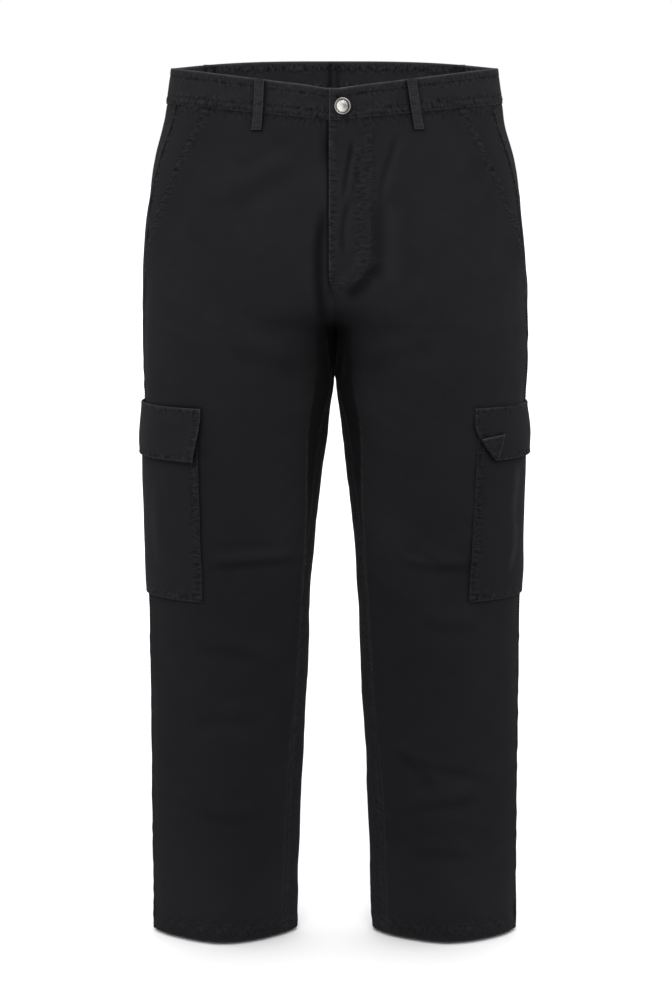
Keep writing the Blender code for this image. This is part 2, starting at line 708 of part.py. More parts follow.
def main():
    for old in list(bpy.data.objects):
        bpy.data.objects.remove(old, do_unlink=True)
    collection = bpy.data.collections.new("cargo_pants")
    bpy.context.scene.collection.children.link(collection)
    twill = material("charcoal_twill", (0.019, 0.019, 0.021), 0.92)
    band_twill = material("charcoal_twill_band", (0.021, 0.021, 0.023), 0.92)
    pocket_twill = material("charcoal_twill_pocket", (0.020, 0.020, 0.022), 0.92)
    metal = material("brushed_nickel", (0.72, 0.71, 0.69), 0.32, 1.0)
    for side in SIGN:
        front_panel(side, twill, collection)
        back_panel(side, twill, collection)
        pocket_facing(side, twill, collection)
        cargo_pocket(side, pocket_twill, collection)
        cargo_flap(side, pocket_twill, collection)
    turned_corner(TURNED_FLAP, pocket_twill, collection)
    waistband(band_twill, collection)
    for name, sign, top_angle, foot_angle in LOOP_PLACES:
        belt_loop(name, sign, top_angle, foot_angle, band_twill, collection)
    button(metal, collection)


main()
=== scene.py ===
"""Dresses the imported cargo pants: fine cloth over each panel, seams, stitches, a button and a studio.

Each cloth node of the frame is a closed wall between two grids of points. The outer grid is read back
from the node, drawn finer, given its creases and puckers, and closed again as a thin shell in its place.
The front faces -Y and +X is the wearer's left. Lengths are in metres, but tables are in millimetres
where they say so.
"""

import math
from dataclasses import dataclass

import bmesh
import bpy
import numpy as np
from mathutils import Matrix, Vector
from mathutils.bvhtree import BVHTree
from mathutils.kdtree import KDTree


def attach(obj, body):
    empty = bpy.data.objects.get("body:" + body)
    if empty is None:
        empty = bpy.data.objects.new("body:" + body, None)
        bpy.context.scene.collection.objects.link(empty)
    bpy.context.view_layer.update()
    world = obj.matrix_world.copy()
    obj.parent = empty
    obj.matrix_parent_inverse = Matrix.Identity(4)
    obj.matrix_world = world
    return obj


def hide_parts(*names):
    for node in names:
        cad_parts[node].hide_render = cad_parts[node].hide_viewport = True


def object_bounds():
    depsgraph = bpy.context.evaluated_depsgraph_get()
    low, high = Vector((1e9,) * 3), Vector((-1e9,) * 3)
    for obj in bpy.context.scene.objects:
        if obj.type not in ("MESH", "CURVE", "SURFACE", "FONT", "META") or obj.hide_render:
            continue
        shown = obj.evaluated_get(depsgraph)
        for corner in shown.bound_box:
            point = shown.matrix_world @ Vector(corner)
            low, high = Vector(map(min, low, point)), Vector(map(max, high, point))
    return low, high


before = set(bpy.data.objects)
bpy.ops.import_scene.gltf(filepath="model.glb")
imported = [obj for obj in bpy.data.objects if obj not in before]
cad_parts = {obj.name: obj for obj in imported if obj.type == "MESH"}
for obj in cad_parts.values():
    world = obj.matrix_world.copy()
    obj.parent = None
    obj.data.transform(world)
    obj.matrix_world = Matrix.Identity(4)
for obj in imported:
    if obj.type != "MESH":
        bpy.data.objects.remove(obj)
cad_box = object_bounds()

SIDES = ("left", "right")
MM = 0.001

# Reading a node's grid
WELD = 1e-6
RIM_ANGLE = math.radians(50)
LEG_CENTRE = 0.12

# Cloth
TWILL_WALL = 0.0013
FOLDED_WALL = 0.0020  # two layers
LOOP_WALL = 0.0018
BAND_WALL = 0.0030
HEM_WALL = 0.0026
HEM_DEPTH = 0.0215
SEAM_REACH = 0.0003  # seamed edges run this much further, to close the frame's gap
TUCK = 0.0012  # panels run this far up behind the waistband's lower edge

# The fine grid: offsets of its first lines from an edge, in millimetres
EDGE_OFFSETS = (0.0, 0.25, 0.8, 1.8, 3.2, 5.0, 7.2, 9.6)
CLOSE_OFFSETS = (0.0, 0.25, 0.8, 1.8, 2.8, 3.9, 5.0, 6.1, 7.2, 8.3, 9.5, 10.8)
DENSE_ACROSS = 160
CROTCH_REACH, CROTCH_TALL, CROTCH_PASSES = 0.080, 0.034, 90
CROTCH_TURN = -0.308  # the height about which the cloth is softened there
THIGH_GAP = 0.0004

# Stitching
THREAD = 0.00030
STITCH = 0.0025
STITCH_PITCH = 0.0036
STITCH_SIDES = 5
# A stitch's rings: shares of its half length, of its thread's radius, and how high they lie
STITCH_RINGS = ((-1.0, 0.15, -0.9), (-0.55, 1.0, 0.25), (0.55, 1.0, 0.25), (1.0, 0.15, -0.9))
TACK_PITCH = 0.00065
TACK_HALF = 0.0011
TACK_RAISED = 0.0002
LINE_STEP = 0.0012  # between the points that a row of stitches is read from

# Weave
RIB_PITCH = 0.0011
RIB_SLOPE = 0.62
YARN_PITCH = 0.0008

# Tone
CREST_PAINTED_LIGHT = 260.0  # painted light on crests and painted shade in troughs: share of brightness for each metre of crest
CREST_PASSES = (5, 40)
EDGE_WEAR_DEPTH = 0.0009

# Seam heights and places, at the front
MOUTH_FOOT = -0.218  # lower end of the slant pockets
FLY_FOOT = -0.247
FLY_FACING = 0.00045
FLY_LAP = 0.0070  # how far the left front reaches past the centre
CROTCH = -0.300


# ---------------------------------------------------------------- reading a node's outer grid

def outer_side(node, sign):
    """The outer half of a cloth wall, as a mesh of its own."""
    form = bmesh.new()
    form.from_mesh(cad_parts[node].data)
    bmesh.ops.remove_doubles(form, verts=form.verts, dist=WELD)
    form.faces.index_update()
    seen, parts = set(), []
    for start in form.faces:
        if start.index in seen:
            continue
        part, queue = [], [start]
        seen.add(start.index)
        while queue:
            face = queue.pop()
            part.append(face)
            for edge in face.edges:
                if edge.calc_face_angle(math.pi) < RIM_ANGLE:
                    for other in edge.link_faces:
                        if other.index not in seen:
                            seen.add(other.index)
                            queue.append(other)
        parts.append(part)
    parts.sort(key=lambda part: -sum(face.calc_area() for face in part))
    clean = min(parts[:2], key=len)  # the other may hold a strip of the rim, so it isn't used
    one = {vert for face in clean for vert in face.verts}
    centre = 0.0 if node == "waistband" else LEG_CENTRE * sign

    def outward(half):
        total = 0.0
        for face in form.faces:
            if all(vert in half for vert in face.verts):
                middle = face.calc_center_median()
                total += face.normal.x * (middle.x - centre) + face.normal.y * middle.y
        return total

    outer = max([one, set(form.verts) - one], key=outward)
    bmesh.ops.delete(form, geom=list(set(form.verts) - outer), context="VERTS")
    return form


def border_loop(form):
    """The border's vertices in order, clockwise as seen from outside."""
    following = {}
    for edge in form.edges:
        if len(edge.link_faces) == 1:
            loop = edge.link_loops[0]
            following[loop.link_loop_next.vert] = loop.vert
    start = next(iter(following))
    loop, vert = [start], following[start]
    while vert is not start:
        loop.append(vert)
        vert = following[vert]
    return loop


def grid_corner(places, count):
    """Where the top edge starts in a border of a grid, and the grid's rows and columns."""
    half = len(places) // 2 + 2
    spread = math.sqrt(half * half - 4 * count)
    sizes = (round((half + spread) / 2), round((half - spread) / 2))
    total = len(places)
    turns = [
        math.pi - (places[k - 1] - places[k]).angle(places[(k + 1) % total] - places[k])
        for k in range(total)
    ]
    found = []
    for rows, columns in (sizes, sizes[::-1]):
        for k in range(total):
            steps = (0, columns - 1, columns + rows - 2, 2 * columns + rows - 3)
            corners = [(k + step) % total for step in steps]
            high = places[corners[0]].z + places[corners[1]].z
            low = places[corners[2]].z + places[corners[3]].z
            if high > low + abs(places[corners[0]].z - places[corners[1]].z):
                found.append((sum(turns[c] for c in corners), k, rows, columns))
    return max(found)[1:]


def outer_grid(node, sign):
    """Rows of points from the top edge down. Columns run from the front round to the back."""
    form = outer_side(node, sign)
    loop = border_loop(form)
    if sign < 0:
        loop.reverse()
    start, rows, columns = grid_corner([vert.co for vert in loop], len(form.verts))
    loop = loop[start:] + loop[:start]
    grid = [[None] * columns for _ in range(rows)]
    for j in range(columns):
        grid[0][j] = loop[j]
        grid[-1][j] = loop[2 * columns + rows - 3 - j]
    for i in range(1, rows - 1):
        grid[i][-1] = loop[columns - 1 + i]
        grid[i][0] = loop[-i]
    used = set(loop)
    near = {vert: {edge.other_vert(vert) for edge in vert.link_edges} for vert in form.verts}
    for i in range(1, rows - 1):
        for j in range(1, columns - 1):
            (vert,) = (near[grid[i - 1][j]] & near[grid[i][j - 1]]) - used
            grid[i][j] = vert
            used.add(vert)
    points = np.array([[tuple(vert.co) for vert in row] for row in grid])
    form.free()
    return points


# ---------------------------------------------------------------- drawing the grid finer

def ramp(values, start, end):
    """0 at start and 1 at end, with level ends."""
    return eased(np.clip((values - start) / (end - start), 0.0, 1.0))


def eased(share):
    return share * share * (3 - 2 * share)


def bell(values, wide):
    """1 at 0, and dying out over a width."""
    return np.exp(-((values / wide) ** 2))


def unit(vectors):
    return vectors / np.maximum(np.linalg.norm(vectors, axis=-1, keepdims=True), 1e-12)


def held_curve(knots, rows, places):
    """Rows of values read at new places, by a curve that never overshoots them."""
    spans = np.diff(knots)[:, None]
    rates = np.diff(rows, axis=0) / spans
    before, after = rates[:-1], rates[1:]
    agree = before * after > 0
    slopes = np.concatenate([rates[:1], np.zeros_like(before), rates[-1:]])
    slopes[1:-1][agree] = (2 * before * after)[agree] / (before + after)[agree]
    i = np.clip(np.searchsorted(knots, places, side="right") - 1, 0, len(knots) - 2)
    t = ((places - knots[i]) / np.diff(knots)[i])[:, None]
    rise = (1 + 2 * t) * (1 - t) ** 2
    bend = spans[i] * (t * (1 - t) ** 2 * slopes[i] - t * t * (1 - t) * slopes[i + 1])
    return rise * rows[i] + (1 - rise) * rows[i + 1] + bend


def smooth_weights(knots, places):
    """Weights that read a curve of even bend through values at knots, at new places."""
    count, spans = len(knots), np.diff(knots)
    left, right = np.eye(count), np.zeros((count, count))
    for i in range(1, count - 1):
        left[i, i - 1 : i + 2] = spans[i - 1], 2 * (spans[i - 1] + spans[i]), spans[i]
        right[i, i - 1] = 6 / spans[i - 1]
        right[i, i] = -6 / spans[i - 1] - 6 / spans[i]
        right[i, i + 1] = 6 / spans[i]
    bends = np.linalg.solve(left, right)
    i = np.clip(np.searchsorted(knots, places, side="right") - 1, 0, count - 2)
    span = spans[i]
    after, before = places - knots[i], knots[i + 1] - places
    weights = np.zeros((len(places), count))
    weights[np.arange(len(places)), i] += before / span
    weights[np.arange(len(places)), i + 1] += after / span
    weights += ((before**3 / span - span * before) / 6)[:, None] * bends[i]
    weights += ((after**3 / span - span * after) / 6)[:, None] * bends[i + 1]
    return weights


def lengths_along(points, axis):
    """Distance along each line of a grid from its start."""
    steps = np.linalg.norm(np.diff(points, axis=axis), axis=2)
    start = np.zeros_like(np.take(steps, [0], axis=axis))
    return np.concatenate([start, np.cumsum(steps, axis=axis)], axis=axis)


def run_lengths(points):
    return np.concatenate([[0], np.cumsum(np.linalg.norm(np.diff(points, axis=0), axis=1))])


def read_at(rows, lengths, at):
    return np.stack([np.interp(at, lengths, rows[:, k]) for k in range(3)], -1)


def line_places(length, step, offsets):
    """Distances from 0 to a length: close together near both ends, and a step apart between."""
    near = np.array([offset * MM for offset in offsets if offset * MM < 0.42 * length])
    between = 2 * max(1, round((length - 2 * near[-1]) / step / 2)) + 1
    middle = np.linspace(near[-1], length - near[-1], between)
    return np.concatenate([near[:-1], middle, length - near[-2::-1]])


def softened(points, passes):
    """Evens out what the coarse grid left, along both ways, with the border kept."""
    for _ in range(passes):
        points[1:-1] = (points[:-2] + 2 * points[1:-1] + points[2:]) / 4
        points[:, 1:-1] = (points[:, :-2] + 2 * points[:, 1:-1] + points[:, 2:]) / 4
    return points


def soften_crotch(points, sign):
    """Lets the cloth span the turn under the crotch, as draped cloth does."""
    own, z = points[..., 0] * sign, points[..., 2]
    share = bell(own, CROTCH_REACH) * bell(z - CROTCH_TURN, CROTCH_TALL)
    smoothed = softened(points.copy(), CROTCH_PASSES)
    return points + (smoothed - points) * np.minimum(1.0, 1.5 * share)[..., None]


def press_thighs(points, sign):
    """Brings the two inner thighs together just under the crotch, along a line that winds a little."""
    own, z = points[..., 0] * sign, points[..., 2]
    level = ramp(z, -0.284, -0.300) * ramp(z, -0.367, -0.352)
    near = level * (1 - ramp(own, 0.003, 0.024))
    pressed = np.maximum(own - THIGH_GAP * near, np.minimum(own, 0.00012))
    wave = 0.0017 * np.sin(2 * math.pi * points[..., 1] / 0.027 + 60 * z + 0.8)
    points[..., 0] = pressed * sign + wave * near


@dataclass
class Cloth:
    """A fine grid over a node, and how far each point is from the grid's edges, along the cloth."""

    points: np.ndarray
    first: np.ndarray
    last: np.ndarray
    top: np.ndarray
    foot: np.ndarray
    sign: int
    lift: np.ndarray
    # rubbed wear, and painted highlights on the pockets' streaks
    wear: np.ndarray
    # the cloth's own tone, times painted light and shade
    dye: np.ndarray
    pucker: np.ndarray

    def normals(self, points=None):
        points = self.points if points is None else points
        down, across = np.gradient(points, axis=0), np.gradient(points, axis=1)
        return unit(np.cross(down, across) * self.sign)

    def surface(self):
        return self.points + self.normals() * self.lift[..., None]

    def own_places(self):
        """How far each point is to the leg's own side of the centre plane, and its height."""
        return self.points[..., 0] * self.sign, self.points[..., 2]


def is_panel(node):
    return node.partition("_")[2] in ("front", "back")


def dense_rows(node, step, passes):
    """The node's grid with many rows and columns, and how far its even rows reach down the cloth."""
    sign = -1 if "right" in node else 1
    grid = outer_grid(node, sign)
    rows, columns = grid.shape[:2]
    down = lengths_along(grid, 0).mean(axis=1)
    across = lengths_along(grid, 1)
    across = (across / across[:, -1:]).mean(axis=0)
    even = np.linspace(0, down[-1], len(line_places(down[-1], step, EDGE_OFFSETS)))
    fine = held_curve(down, grid.reshape(rows, -1), even).reshape(len(even), columns, 3)
    fine = np.einsum("uc,vcx->vux", smooth_weights(across, np.linspace(0, 1, DENSE_ACROSS)), fine)
    fine = softened(fine, passes)
    if is_panel(node):
        fine = soften_crotch(fine, sign)
        press_thighs(fine, sign)
    return sign, even, fine


def inseam_shift(z):
    """How far the seam inside a leg lies behind the frame's."""
    return ramp(z, -0.33, -0.42) * (0.0108 - 0.0063 * ramp(z, -0.66, -0.90))


def move_inseam(front, back):
    """Takes a strip from the back's last edge and adds it to the front's first, row by row."""
    seam = -back[:, -1, 2]
    wider, narrower = front.copy(), back.copy()
    for i, row in enumerate(front):
        shift = inseam_shift(row[0, 2])
        if shift > 0.0005:
            at = np.interp(-row[0, 2], seam, np.arange(len(seam)))
            k = min(int(at), len(seam) - 2)
            strip = (back[k] * (k + 1 - at) + back[k + 1] * (at - k))[::-1]
            strip = read_at(strip, run_lengths(strip), np.arange(shift, 0.0006, -0.0010))
            joined = np.concatenate([strip, row])
            lengths = run_lengths(joined)
            wider[i] = read_at(joined, lengths, np.linspace(0, lengths[-1], len(row)))
    for j, row in enumerate(back):
        lengths = run_lengths(row)
        end = lengths[-1] - inseam_shift(row[-1, 2])
        narrower[j] = read_at(row, lengths, np.linspace(0, end, len(row)))
    return wider, narrower


FRONT_SLANT = {"right_cargo_flap": 0.0080}  # how far a front edge leans back at its foot


def slant_front(points, by):
    for i, row in enumerate(points):
        lengths = run_lengths(row)
        trim = by * ramp(i / (len(points) - 1), 0.2, 1.0)
        points[i] = read_at(row, lengths, trim + lengths * (1 - trim / lengths[-1]))


def fine_cloth(node, steps, passes, reach=(0, 0, 0), offsets=EDGE_OFFSETS):
    """The node's outside as fine cloth. steps is its spacing down and across, and reach is how far its
    top, first and last edges run on."""
    sign, even, fine = dense_rows(node, steps[0], passes)
    if is_panel(node):
        side, _, part = node.partition("_")
        both = {part: fine}
        other = "back" if part == "front" else "front"
        both[other] = dense_rows(f"{side}_{other}", steps[0], passes)[2]
        fine = move_inseam(both["front"], both["back"])[0 if part == "front" else 1]
    places = line_places(even[-1], steps[0], offsets)
    fine = held_curve(even, fine.reshape(len(even), -1), places).reshape(len(places), -1, 3)
    lengths = lengths_along(fine, 1)
    shares = line_places(np.median(lengths[:, -1]), steps[1], offsets)
    count = len(shares)
    drawn = np.empty((len(places), count, 3))
    ends = sum(shares <= offsets[-1] * MM + 1e-9)
    for i, row in enumerate(fine):
        width = lengths[i, -1]
        if width > 2.6 * shares[ends - 1]:
            middle = np.linspace(shares[ends - 1], width - shares[ends - 1], count - 2 * ends + 2)
            at = np.concatenate([shares[: ends - 1], middle, width - shares[: ends - 1][::-1]])
        else:
            at = shares * width / shares[-1]
        drawn[i] = read_at(row, lengths[i], at)
    if node in FRONT_SLANT:
        slant_front(drawn, FRONT_SLANT[node])
    for line, beside, length in zip(
        (drawn[0], drawn[:, 0], drawn[:, -1]), (drawn[1], drawn[:, 1], drawn[:, -2]), reach
    ):
        line += unit(line - beside) * length
    first, top = lengths_along(drawn, 1), lengths_along(drawn, 0)
    zero = np.zeros(drawn.shape[:2])
    return Cloth(
        drawn, first, first[:, -1:] - first, top, top[-1:] - top, sign,
        zero.copy(), zero.copy(), zero + 1, np.zeros(drawn.shape),
    )


# ---------------------------------------------------------------- creases, puckers and rumples

RIPPLE_CELLS, RUMPLE_CELLS = 4096, 256
RUMPLE_START = 100  # cells, so that no place is negative
STREAK_LIFT = 0.0006
SHADE_MARGIN = 0.008  # beyond this a shade beside an outline doesn't show


def lattice(seed, *shape):
    return np.random.RandomState(seed).uniform(-1, 1, shape)


def ripple(along, seed, spacing):
    """An uneven wave of about this spacing along a seam, from -1 to 1."""
    place = along / spacing
    place = place + 0.35 * np.sin(place * 0.9 + seed)
    values = lattice(seed, RIPPLE_CELLS)
    cell = np.floor(place).astype(int)
    share = eased(place - cell)
    return values[cell % RIPPLE_CELLS] * (1 - share) + values[(cell + 1) % RIPPLE_CELLS] * share


def rumple(across, down, seed, wide, tall):
    """Uneven swells of about this size over cloth, from -1 to 1."""
    u, v = across / wide + RUMPLE_START, down / tall + RUMPLE_START
    values = lattice(seed, RUMPLE_CELLS, RUMPLE_CELLS)
    i, j = np.floor(v).astype(int), np.floor(u).astype(int)
    s, t = eased(u - j), eased(v - i)

    def row_at(k):
        row = k % RUMPLE_CELLS
        return values[row, j % RUMPLE_CELLS] * (1 - s) + values[row, (j + 1) % RUMPLE_CELLS] * s

    return row_at(i) * (1 - t) + row_at(i + 1) * t


def path_distance(x, z, path):
    """Signed distance from a path, and the share of the path's length beside each point."""
    lengths = run_lengths(path)
    best = np.full(x.shape, np.inf)
    signed, share = np.zeros(x.shape), np.zeros(x.shape)
    for k in range(len(path) - 1):
        (ax, az), (bx, bz) = path[k], path[k + 1]
        dx, dz = bx - ax, bz - az
        square = dx * dx + dz * dz
        t = np.clip(((x - ax) * dx + (z - az) * dz) / square, 0, 1)
        off_x, off_z = x - ax - t * dx, z - az - t * dz
        gap = np.hypot(off_x, off_z)
        nearer = gap < best
        best = np.where(nearer, gap, best)
        signed = np.where(nearer, gap * np.sign(dx * off_z - dz * off_x), signed)
        share = np.where(nearer, (lengths[k] + t * math.sqrt(square)) / lengths[-1], share)
    return signed, share


def bowed(path, count=10):
    """A smooth run of points, in metres, through a short path in millimetres."""
    path = np.array(path) * MM
    knots = run_lengths(path)
    return smooth_weights(knots, np.linspace(0, knots[-1], count)) @ path


# Creases, by panel, in millimetres. A path's points are (distance from the centre plane, height). Depth is
# negative for a trough. Shoulder is the height of the soft ridge beside it, as a share of its depth, on the
# side of its sign: positive is to the left of the path as it is followed.
CREASES = {
    # width, depth, shoulder, path
    "left_front": (
        (3.0, -2.8, 0.7, ((20.8, -76), (16.5, -104), (12, -130), (8.5, -152))),
        (3.2, -1.7, 0.6, ((19, -144), (12.5, -162), (8.8, -186), (10.5, -214))),
        (3.4, -1.6, -0.6, ((26.2, -96), (21.5, -126), (16, -150))),
        (3.8, -1.5, 0.6, ((70.5, -70), (62, -101.5), (54.7, -124), (49.5, -155))),
        (8.0, -2.3, 0.7, ((51.5, -140), (49.5, -190), (52, -255))),
        (8.0, -4.0, 0.5, ((10, -262), (30, -247), (49, -216))),
        (12.0, -1.3, -0.5, ((45, -290), (75, -281), (112, -262))),
        (14.0, -1.8, 0.5, ((30, -345), (75, -322), (125, -312))),
        (7.0, -2.3, 0.6, ((70, -569), (117.6, -577.5), (168, -581))),
        (6.0, -1.4, -0.6, ((78, -553), (105, -562), (130, -569))),
        (10.0, -1.4, 0.5, ((90, -640), (130, -652), (180, -648))),
        (9.0, -1.8, 0.6, ((62, -806), (95, -825), (128.4, -851))),
        (8.0, -1.6, -0.6, ((78, -813), (126, -824), (180, -836))),
        (9.0, -1.8, 0.5, ((76, -884), (126, -870), (180, -866))),
        (10.0, -1.4, 0.5, ((85, -940), (130, -932), (170, -944))),
    ),
    "right_front": (
        (6.8, -2.6, -0.5, ((9.5, -146), (16.8, -195), (17.8, -225), (11.5, -305))),
        (13.0, -2.1, 0.6, ((25.4, -100), (75, -130), (138, -168))),
        (11.0, -1.4, -0.5, ((40, -80), (80, -95), (120, -120))),
        (12.0, -1.3, -0.5, ((45, -296), (75, -288), (115, -268))),
        (14.0, -1.8, 0.5, ((30, -350), (80, -330), (130, -318))),
        (6.5, -2.3, 0.6, ((32, -575), (93, -574.2), (158, -578))),
        (8.0, -0.8, -0.6, ((60, -553), (100, -549), (140, -556))),
        (9.0, -1.1, 0.5, ((70, -694), (105.8, -683.3), (170, -676))),
        (11.0, -1.4, -0.5, ((80, -770), (120, -762), (180, -772))),
        (10.0, -1.3, 0.5, ((75, -880), (115, -888), (170, -876))),
    ),
    "left_back": (
        (11.0, -2.2, 0.6, ((20, -292), (70, -310), (130, -300))),
        (10.0, -1.6, -0.6, ((30, -330), (80, -346), (135, -338))),
        (13.0, -1.3, 0.5, ((30, -190), (80, -215), (140, -205))),
        (8.0, -2.2, 0.6, ((60, -596), (110, -606), (170, -598))),
        (7.5, -1.6, -0.6, ((70, -628), (115, -640), (165, -634))),
        (7.0, -1.3, 0.6, ((80, -568), (120, -575), (160, -566))),
        (10.0, -1.1, 0.5, ((80, -900), (130, -912), (180, -902))),
    ),
    "right_back": (
        (11.0, -2.2, 0.6, ((22, -296), (75, -306), (135, -292))),
        (9.5, -1.6, -0.6, ((30, -336), (85, -352), (130, -346))),
        (13.0, -1.1, 0.5, ((40, -170), (90, -188), (150, -176))),
        (8.0, -2.2, 0.6, ((65, -602), (115, -596), (175, -606))),
        (7.5, -1.4, -0.6, ((75, -636), (118, -630), (170, -640))),
        (7.0, -1.3, 0.6, ((85, -560), (120, -568), (165, -572))),
        (10.0, -1.1, 0.5, ((85, -880), (130, -870), (175, -884))),
    ),
}
CREASE_END = 0.28  # share of a crease's length over which each end dies out
RIDGE_OUT, RIDGE_WIDE = 1.9, 1.3  # the ridge beside a crease, in the crease's widths
# Painted highlights: soft pale streaks down the pockets, over low ridges, in millimetres
HIGHLIGHT_STREAKS = {
    # width, strength, path
    "left": (
        (3.6, 0.13, ((217, -452), (215.2, -490), (210.8, -532))),
        (3.2, 0.12, ((211.2, -515), (215.2, -545), (206.2, -594))),
    ),
    "right": ((4.5, 0.04, ((210, -470), (212, -530), (208, -590))),),
}


def add_creases(cloth, panel):
    for width, depth, shoulder, path in CREASES[panel]:
        gap, share = path_distance(*cloth.own_places(), bowed(path))
        width *= MM
        ridge = gap - math.copysign(RIDGE_OUT, shoulder) * width
        form = bell(gap, width) - abs(shoulder) * bell(ridge, RIDGE_WIDE * width)
        cloth.lift += depth * MM * form * ramp(share, 0, CREASE_END) * ramp(share, 1, 1 - CREASE_END)


def add_highlight_streaks(cloth, side):
    for width, strength, path in HIGHLIGHT_STREAKS[side]:
        gap, share = path_distance(*cloth.own_places(), bowed(path))
        highlight_streak = bell(gap, width * MM) * ramp(share, 0, 0.3) * ramp(share, 1, 0.7)
        highlight_streak *= cloth.points[..., 1] < 0
        # painted highlight along each streak, added to the rubbed wear
        cloth.wear += strength * highlight_streak
        cloth.lift += STREAK_LIFT * highlight_streak


def add_puckers(cloth, distance, along, seed, spacing, depth, wide, where=1.0, slant=0.0, way="v", fine=1.0):
    """Small uneven swells beside a seam or row of stitches, dying out over a width.

    way is v where the seam runs down the cloth and h where it runs across, and fine is the strength of
    the finer puckers that the material adds."""
    near = bell(distance, wide) * where
    cloth.lift += depth * ripple(along + slant * distance, seed, spacing) * near
    channel = cloth.pucker[..., 0 if way == "h" else 1]
    np.maximum(channel, near * fine, out=channel)


def add_groove(cloth, distance, depth, wide, where=1.0, shade=0.12):
    """The dent that a row of stitches pulls into the cloth, with painted shade along it."""
    dent = bell(distance, wide) * where
    cloth.lift -= depth * dent
    cloth.dye *= 1 - shade * dent


def border_of(grid):
    """A grid's border as one row, in order."""
    return np.concatenate([grid[0], grid[1:, -1], grid[-1, -2::-1], grid[-2:0:-1, 0]])


def shade_beside(cloth, nodes, strength, reach, outward):
    """Darkens a cloth along the outlines of what lies on it. outward is the share left on the sides
    that face away from the centre."""
    border = np.concatenate([border_of(fine_cloth(node, (0.002, 0.002), 1).points) for node in nodes])
    tree = KDTree(len(border))
    for k, point in enumerate(border):
        tree.insert(point, k)
    tree.balance()
    low, high = border.min(axis=0) - SHADE_MARGIN, border.max(axis=0) + SHADE_MARGIN
    normals = cloth.normals()
    for i, j in np.argwhere(((cloth.points > low) & (cloth.points < high)).all(axis=2)):
        point, out = cloth.points[i, j], normals[i, j]
        near, _, _ = tree.find(point)
        way = point - np.array(near)
        beside = np.linalg.norm(way - out * (way @ out))
        side = 1.0 if abs(point[0]) < abs(near[0]) else outward
        cloth.dye[i, j] *= 1 - strength * side * bell(beside, reach)


def add_rumples(cloth, seed, depth):
    across, down = cloth.first, cloth.top
    calm = ramp(np.minimum(cloth.first, cloth.last), 0.0, 0.02) * ramp(cloth.top, 0.0, 0.02)
    swell = 0.9 * rumple(across, down, seed, 0.075, 0.110)
    swell += 0.45 * rumple(across + 0.3 * down, down, seed + 1, 0.050, 0.036)
    swell += 0.16 * rumple(across - 0.2 * down, down, seed + 2, 0.020, 0.014)
    cloth.lift += depth * swell * calm


# ---------------------------------------------------------------- meshes

def add_piece(name, mesh, surface, slot, *nodes):
    """Links a mesh as a piece of the garment that stands for these nodes."""
    mesh.materials.append(surface)
    piece = bpy.data.objects.new(name, mesh)
    bpy.context.scene.collection.objects.link(piece)
    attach(piece, "root")
    if nodes:
        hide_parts(*nodes)
    return piece


def set_attribute(mesh, name, kind, values):
    field = "vector" if kind == "FLOAT_VECTOR" else "value"
    made = mesh.attributes.new(name, kind, "POINT")
    made.data.foreach_set(field, np.asarray(values, np.float32).ravel())


def blurred(values, passes):
    for _ in range(passes):
        values = np.pad(values, 1, mode="edge")
        values = (values[:-2] + 2 * values[1:-1] + values[2:]) / 4
        values = (values[:, :-2] + 2 * values[:, 1:-1] + values[:, 2:]) / 4
    return values


def shell_mesh(name, cloth, wall, foot_wall, inside_dye, edge_wear):
    """A thin closed shell with round edges under the cloth's grid, half as fine inside. Its crests get
    painted light and its troughs painted shade, and its edges are rubbed."""
    crest = sum(cloth.lift - blurred(cloth.lift, passes) for passes in CREST_PASSES) / len(CREST_PASSES)
    # painted light on crests and painted shade in troughs, by height above the smoothed cloth
    cloth.dye *= np.clip(1 + CREST_PAINTED_LIGHT * crest, 0.55, 1.16)
    for edge, strength in edge_wear.items():
        cloth.wear += strength * np.exp(-getattr(cloth, edge) / EDGE_WEAR_DEPTH)
    surface = cloth.surface()
    normals = cloth.normals(surface)
    walls = wall + (foot_wall - wall) * (1 - ramp(cloth.foot, HEM_DEPTH - 0.001, HEM_DEPTH + 0.001))
    edge = np.minimum.reduce([cloth.first, cloth.last, cloth.top, cloth.foot])
    radius = wall / 2
    inset = np.clip(radius - edge, 0, 0.9 * radius)
    drop = radius - np.sqrt(radius**2 - inset**2)
    outside = surface - normals * drop[..., None]
    inside = (surface - normals * (walls - drop)[..., None])[::2, ::2]
    rows, columns = edge.shape
    index = np.arange(rows * columns).reshape(rows, columns)
    inner = np.arange(inside.shape[0] * inside.shape[1]).reshape(inside.shape[:2]) + rows * columns
    faces = quads_of(index).tolist() + quads_of(inner)[:, ::-1].tolist()
    ring, inner_ring = border_of(index).tolist(), border_of(inner).tolist()
    for k in range(len(inner_ring)):
        here = [ring[2 * k], ring[2 * k + 1], ring[(2 * k + 2) % len(ring)]]
        faces.append([*here, inner_ring[(k + 1) % len(inner_ring)], inner_ring[k]])
    if cloth.sign < 0:
        faces = [face[::-1] for face in faces]
    mesh = bpy.data.meshes.new(name)
    points = np.concatenate([outside.reshape(-1, 3), inside.reshape(-1, 3)])
    mesh.from_pydata(points, [], faces)

    def both(values, inside_share=1.0):
        flat = values.reshape(rows, columns, -1)
        inside_values = flat[::2, ::2].reshape(inner.size, -1) * inside_share
        return np.concatenate([flat.reshape(rows * columns, -1), inside_values])

    middle = cloth.first - cloth.first[:, columns // 2, None]
    set_attribute(mesh, "weave", "FLOAT_VECTOR", both(np.stack([middle, cloth.top, 0 * middle], -1)))
    set_attribute(mesh, "wear", "FLOAT", both(np.clip(cloth.wear, 0, 1)))
    set_attribute(mesh, "dye", "FLOAT", both(cloth.dye, inside_dye))
    set_attribute(mesh, "pucker", "FLOAT_VECTOR", both(cloth.pucker))
    mesh.shade_smooth()
    return mesh


def quads_of(index):
    quads = np.stack([index[:-1, :-1], index[1:, :-1], index[1:, 1:], index[:-1, 1:]], -1)
    return quads.reshape(-1, 4)


# ---------------------------------------------------------------- rows of stitches

